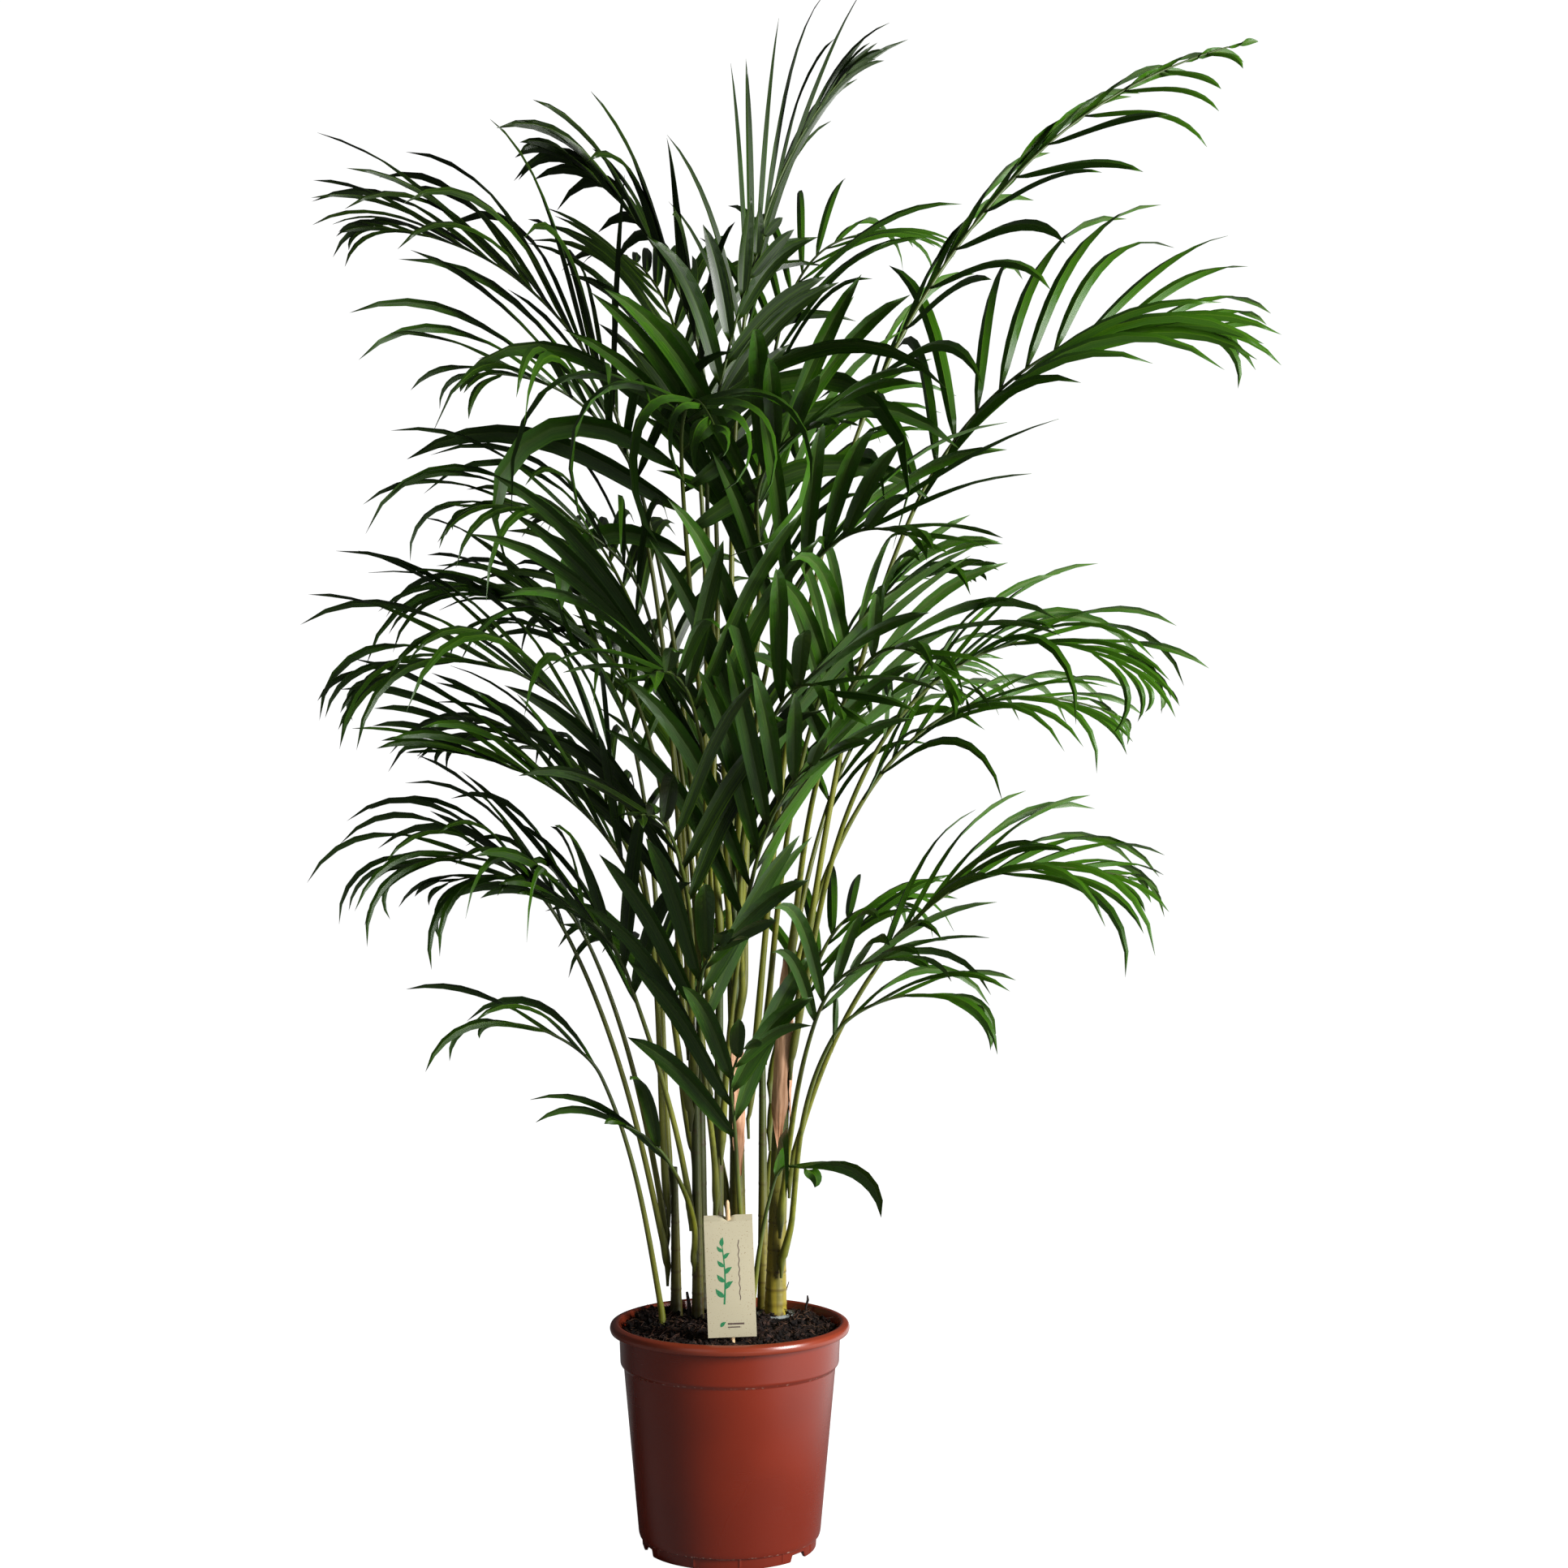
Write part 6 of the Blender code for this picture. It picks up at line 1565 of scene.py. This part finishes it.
def make_card_sleeve(material):
    """The card folded over its peg: two panels and a sloping roof, pressed in where the peg comes through."""
    origin, across, through, up = card_frame()
    columns, panel_rows = 33, 12
    rings = []
    for c in range(columns):
        u = (c / (columns - 1) - 0.5) * LABEL_WIDTH
        dent = ROOF_DENT * max(0.0, 1 - abs(u) / DENT_WIDTH)
        half = LABEL_DEPTH / 2
        front_top, back_top = LABEL_HEIGHT - ROOF_RISE - dent * 0.3, LABEL_HEIGHT - dent
        outline = []
        for k in range(panel_rows):
            t = k / (panel_rows - 1)
            belly = 0.7 * MM * math.sin(math.pi * t) * (1 - (2 * u / LABEL_WIDTH) ** 2)
            outline.append((-half - belly, front_top * t))
        outline.append((0.0, (front_top + back_top) / 2))
        for k in range(panel_rows):
            t = 1 - k / (panel_rows - 1)
            outline.append((half, back_top * t))
        normals = []
        for i in range(len(outline)):
            before, after = outline[max(i - 1, 0)], outline[min(i + 1, len(outline) - 1)]
            way = Vector((after[0] - before[0], after[1] - before[1])).normalized()
            normals.append(Vector((way.y, -way.x)))
        inner = [(p[0] + n.x * CARD, p[1] + n.y * CARD) for p, n in zip(outline, normals)]
        ring = outline + inner[::-1]
        rings.append([origin + across * u + through * t + up * s for t, s in ring])
    side = len(rings[0])
    faces = ring_faces(columns, side, closed_ends=False)
    for c in (0, columns - 1):
        for i in range(side // 2 - 1):
            a, b = c * side + i, c * side + side - 1 - i
            faces.append((a, a + 1, b - 1, b))
    return object_from("card_sleeve", [v for ring in rings for v in ring], faces, material, 40)


def on_card(u, s, lift):
    """A place on the front panel: across it and up it in metres, and how far off it."""
    origin, across, through, up = card_frame()
    belly = 0.7 * MM * math.sin(math.pi * min(1.0, s / (LABEL_HEIGHT - ROOF_RISE))) * (1 - (2 * u / LABEL_WIDTH) ** 2)
    return origin + across * u + up * s - through * (LABEL_DEPTH / 2 + belly + lift)


def ribbon_mark(name, spine, widths, material):
    """A printed stroke: a spine of (across, up) points in millimetres with a width at each."""
    left, right = [], []
    for i, (u, s) in enumerate(spine):
        before, after = spine[max(i - 1, 0)], spine[min(i + 1, len(spine) - 1)]
        way = Vector((after[0] - before[0], after[1] - before[1])).normalized()
        half = widths[i] / 2
        left.append(((u - way.y * half) * MM, (s + way.x * half) * MM))
        right.append(((u + way.y * half) * MM, (s - way.x * half) * MM))
    corners = []
    for a, b in zip(left, right):
        corners += [on_card(*a, PRINT), on_card(*b, PRINT), on_card(*b, -PRINT), on_card(*a, -PRINT)]
    return object_from(name, corners, ring_faces(len(spine), 4), material)


def leaf_mark(name, foot, tip, width, material):
    """A printed leaf between two (across, up) points in millimetres."""
    steps = 12
    spine, widths = [], []
    for k in range(steps + 1):
        t = k / steps
        bow = 0.10 * math.sin(math.pi * t)
        u = foot[0] + (tip[0] - foot[0]) * t - (tip[1] - foot[1]) * bow
        s = foot[1] + (tip[1] - foot[1]) * t + (tip[0] - foot[0]) * bow
        spine.append((u, s))
        widths.append(width * max(0.03, math.sin(math.pi * t**0.8)))
    return ribbon_mark(name, spine, widths, material)


def label_marks():
    """A plain sprig, a wavy rule beside it and two short rules below: a pattern, with no lettering."""
    green, brown = ink_material("green_ink", PRINT_GREEN), ink_material("brown_ink", PRINT_BROWN)
    marks = []
    stem = [(-6.5 + 1.6 * math.sin(t * 3.2), 32 + 56 * t) for t in np.linspace(0, 1, 24)]
    marks.append(ribbon_mark("sprig_stem", stem, [1.8 - 0.8 * k / 23 for k in range(24)], green))
    for index in range(7):
        u, s = stem[3 + index * 3]
        reach = 8.6 - 0.5 * index
        side = 1 if index % 2 else -1
        tip = (u + side * reach, s + reach * 0.95)
        marks.append(leaf_mark(f"sprig_leaf_{index + 1}", (u, s), tip, 5.0 - 0.25 * index, green))
    u, s = stem[-1]
    marks.append(leaf_mark("sprig_tip", (u, s), (u + 1.0, s + 9), 4.2, green))
    wave = [(9 + 0.5 * math.sin(t * 40), 36 + 58 * t) for t in np.linspace(0, 1, 90)]
    marks.append(ribbon_mark("wavy_rule", wave, [0.8] * 90, brown))
    marks.append(leaf_mark("small_leaf", (-11, 10.0), (-5.5, 15.0), 3.6, green))
    for index, (start, end, s) in enumerate(((-4, 12, 13.0), (-4, 8, 9.8))):
        marks.append(ribbon_mark(f"short_rule_{index + 1}", [(start, s), (end, s)], [1.7 - 0.6 * index] * 2, brown))
    return marks


def peg_material():
    """Pale sanded wood with a fine lengthwise grain."""
    material, shader, wires = new_material("pale_wood")
    grain, lines = grain_on(wires, object_place(wires), 900.0, 40.0, 4.0, (0.4, 0.7))
    wires.plug(shader.inputs["Base Color"], wires.mix(lines, PEG_PALE, PEG_GRAIN))
    shader.inputs["Roughness"].default_value = 0.6
    raise_by(wires, shader, grain, 0.3, 0.15 * MM)
    return material


def plug_material():
    """Thin cloudy plastic that lets some light through."""
    material, shader, wires = new_material("cloudy_plastic")
    dirt, grimy = patches_on(wires, object_place(wires), 240.0, 4.0, (0.55, 0.72), 0.8)
    wires.plug(shader.inputs["Base Color"], wires.mix(grimy, PLUG_CLEAR, PEAT_BROWN))
    wires.plug(shader.inputs["Roughness"], wires.math("MULTIPLY_ADD", dirt, 0.3, 0.15))
    shader.inputs["Transmission Weight"].default_value = 0.55
    return material


def make_label():
    """The printed card and the peg that carries it."""
    place(joined("card_with_print", [make_card_sleeve(card_material()), *label_marks()]), "label_card")
    foot, head = peg_line()
    along = (head - foot).normalized()
    length = (head - foot).length
    stops = [(0.0, 0.3), (6 * MM, 0.75), (12 * MM, 1.0), (length - 9.5 * MM, 1.0), (length - 8.5 * MM, 0.88)]
    stops += [(length - 3 * MM, 0.84), (length - 1.6 * MM, 0.74), (length - 0.6 * MM, 0.52), (length, 0.18)]
    points = [foot + along * at for at, _ in stops]
    radii = [PEG_RADIUS * share for _, share in stops]
    peg = object_from("peg_round", tube_corners(points, radii, 24), ring_faces(len(points), 24), peg_material(), 40)
    place(peg, "label_peg")


def make_collar():
    """The cloudy ring of the seedling plug round the yellow cane's foot, a little buckled."""
    middle = (COLLAR_LOW + COLLAR_HIGH) / 2
    outer = (COLLAR_HIGH.x - COLLAR_LOW.x) / 2
    inner = outer - 6 * MM
    low, high = COLLAR_LOW.z - middle.z, COLLAR_HIGH.z - middle.z
    corners = [(inner, low, 0.2 * MM), (outer, low, 0.2 * MM), (outer, high + 1.2 * MM, 0.3 * MM)]
    corners += [(outer - MM, high, 0.3 * MM), (inner + 0.8 * MM, high, 0.3 * MM)]
    corners.append((inner, high + 0.8 * MM, 0.2 * MM))

    def buckle(radius, height, angles):
        return radius, height + 0.5 * MM * np.sin(angles * 2 + 0.6) + 0.25 * MM * np.sin(angles * 5)

    ring = lathe("plug_ring", rounded(corners, 3), 96, plug_material(), smooth=50, reshape=buckle, closed_loop=True)
    ring.data.transform(Matrix.Translation(middle))
    place(ring, "plug_collar")


# ---------------------------------------------------------------- stage, lights and camera


LIT_POINT = (0, 0, 0.8)
SURROUND_LIGHT = 0.06
SURROUND_SEEN = 0.99
FLOOR_GREY = 0.3
# Where the floor starts and stops glowing in reflections on the right: a painted reflection, since the floor is no
# lamp.
GLOSS_FROM = 0.22
GLOSS_TO = 0.5


def make_stage():
    """A plain floor: white to the camera, and on the right-hand side glowing only in reflections, a painted
    reflection in the plant's gloss.
    """
    bm = bmesh.new()
    bmesh.ops.create_grid(bm, x_segments=1, y_segments=1, size=30)
    mesh = bpy.data.meshes.new("floor")
    bm.to_mesh(mesh)
    bm.free()
    floor = bpy.data.objects.new("floor", mesh)
    bpy.context.scene.collection.objects.link(floor)
    material, shader, wires = new_material("floor_white")
    shader.inputs["Base Color"].default_value = (FLOOR_GREY, FLOOR_GREY, FLOOR_GREY, 1)
    shader.inputs["Roughness"].default_value = 0.9
    shader.inputs["Emission Color"].default_value = (1, 1, 1, 1)
    path = wires.node("ShaderNodeLightPath").outputs
    east = wires.out(wires.node("ShaderNodeSeparateXYZ", {"Vector": object_place(wires)}), "X")
    # Painted reflection: to glossy rays the floor glows on the right-hand side, which gives the pot and leaves a
    # sheen on their right.
    bright = wires.math("MULTIPLY", path["Is Glossy Ray"], wires.ramp(east, ((GLOSS_FROM, 0.0), (GLOSS_TO, 1.0))))
    wires.plug(shader.inputs["Emission Strength"], wires.math("ADD", path["Is Camera Ray"], bright))
    mesh.materials.append(material)


def add_area(name, place_at, target, size, power):
    """A white rectangular lamp, aimed at a point."""
    light = bpy.data.lights.new(name, "AREA")
    light.shape = "RECTANGLE"
    light.size, light.size_y = size
    light.energy = power
    obj = bpy.data.objects.new(name, light)
    obj.location = place_at
    obj.rotation_euler = (Vector(target) - Vector(place_at)).to_track_quat("-Z", "Y").to_euler()
    bpy.context.scene.collection.objects.link(obj)


def make_lights():
    """A strong lamp on the right, a faint one in front on the left, and a white surround that lights very little."""
    add_area("key_light", (2.8, -1.7, 1.5), LIT_POINT, size=(1.2, 1.8), power=250)
    add_area("front_fill", (-1.6, -3.0, 1.2), LIT_POINT, size=(2.0, 2.0), power=8)
    world = bpy.data.worlds.new("studio")
    bpy.context.scene.world = world
    world.use_nodes = True
    wires = Wires(world.node_tree)
    background = world.node_tree.nodes["Background"]
    background.inputs["Color"].default_value = (1, 1, 1, 1)
    seen = wires.node("ShaderNodeLightPath").outputs["Is Camera Ray"]
    wires.plug(background.inputs["Strength"], wires.math("MULTIPLY_ADD", seen, SURROUND_SEEN, SURROUND_LIGHT))


CAMERA_PLACE = (0.054, -2.5, 0.757)
CAMERA_LENS_MM = 57.6


def make_camera():
    """A level camera in front, at half the plant's height."""
    camera = bpy.data.cameras.new("camera")
    camera.lens = CAMERA_LENS_MM
    camera.sensor_width = 36
    obj = bpy.data.objects.new("camera", camera)
    obj.location = CAMERA_PLACE
    obj.rotation_euler = (math.radians(90), 0, 0)
    bpy.context.scene.collection.objects.link(obj)
    bpy.context.scene.camera = obj


def main():
    """Builds the stage, then every piece."""
    bpy.context.scene.view_settings.view_transform = "Standard"
    make_camera()
    make_lights()
    make_stage()
    make_pot()
    make_soil()
    make_canes()
    make_label()
    make_collar()
    make_fronds(leaf_material(), stalk_material())


main()
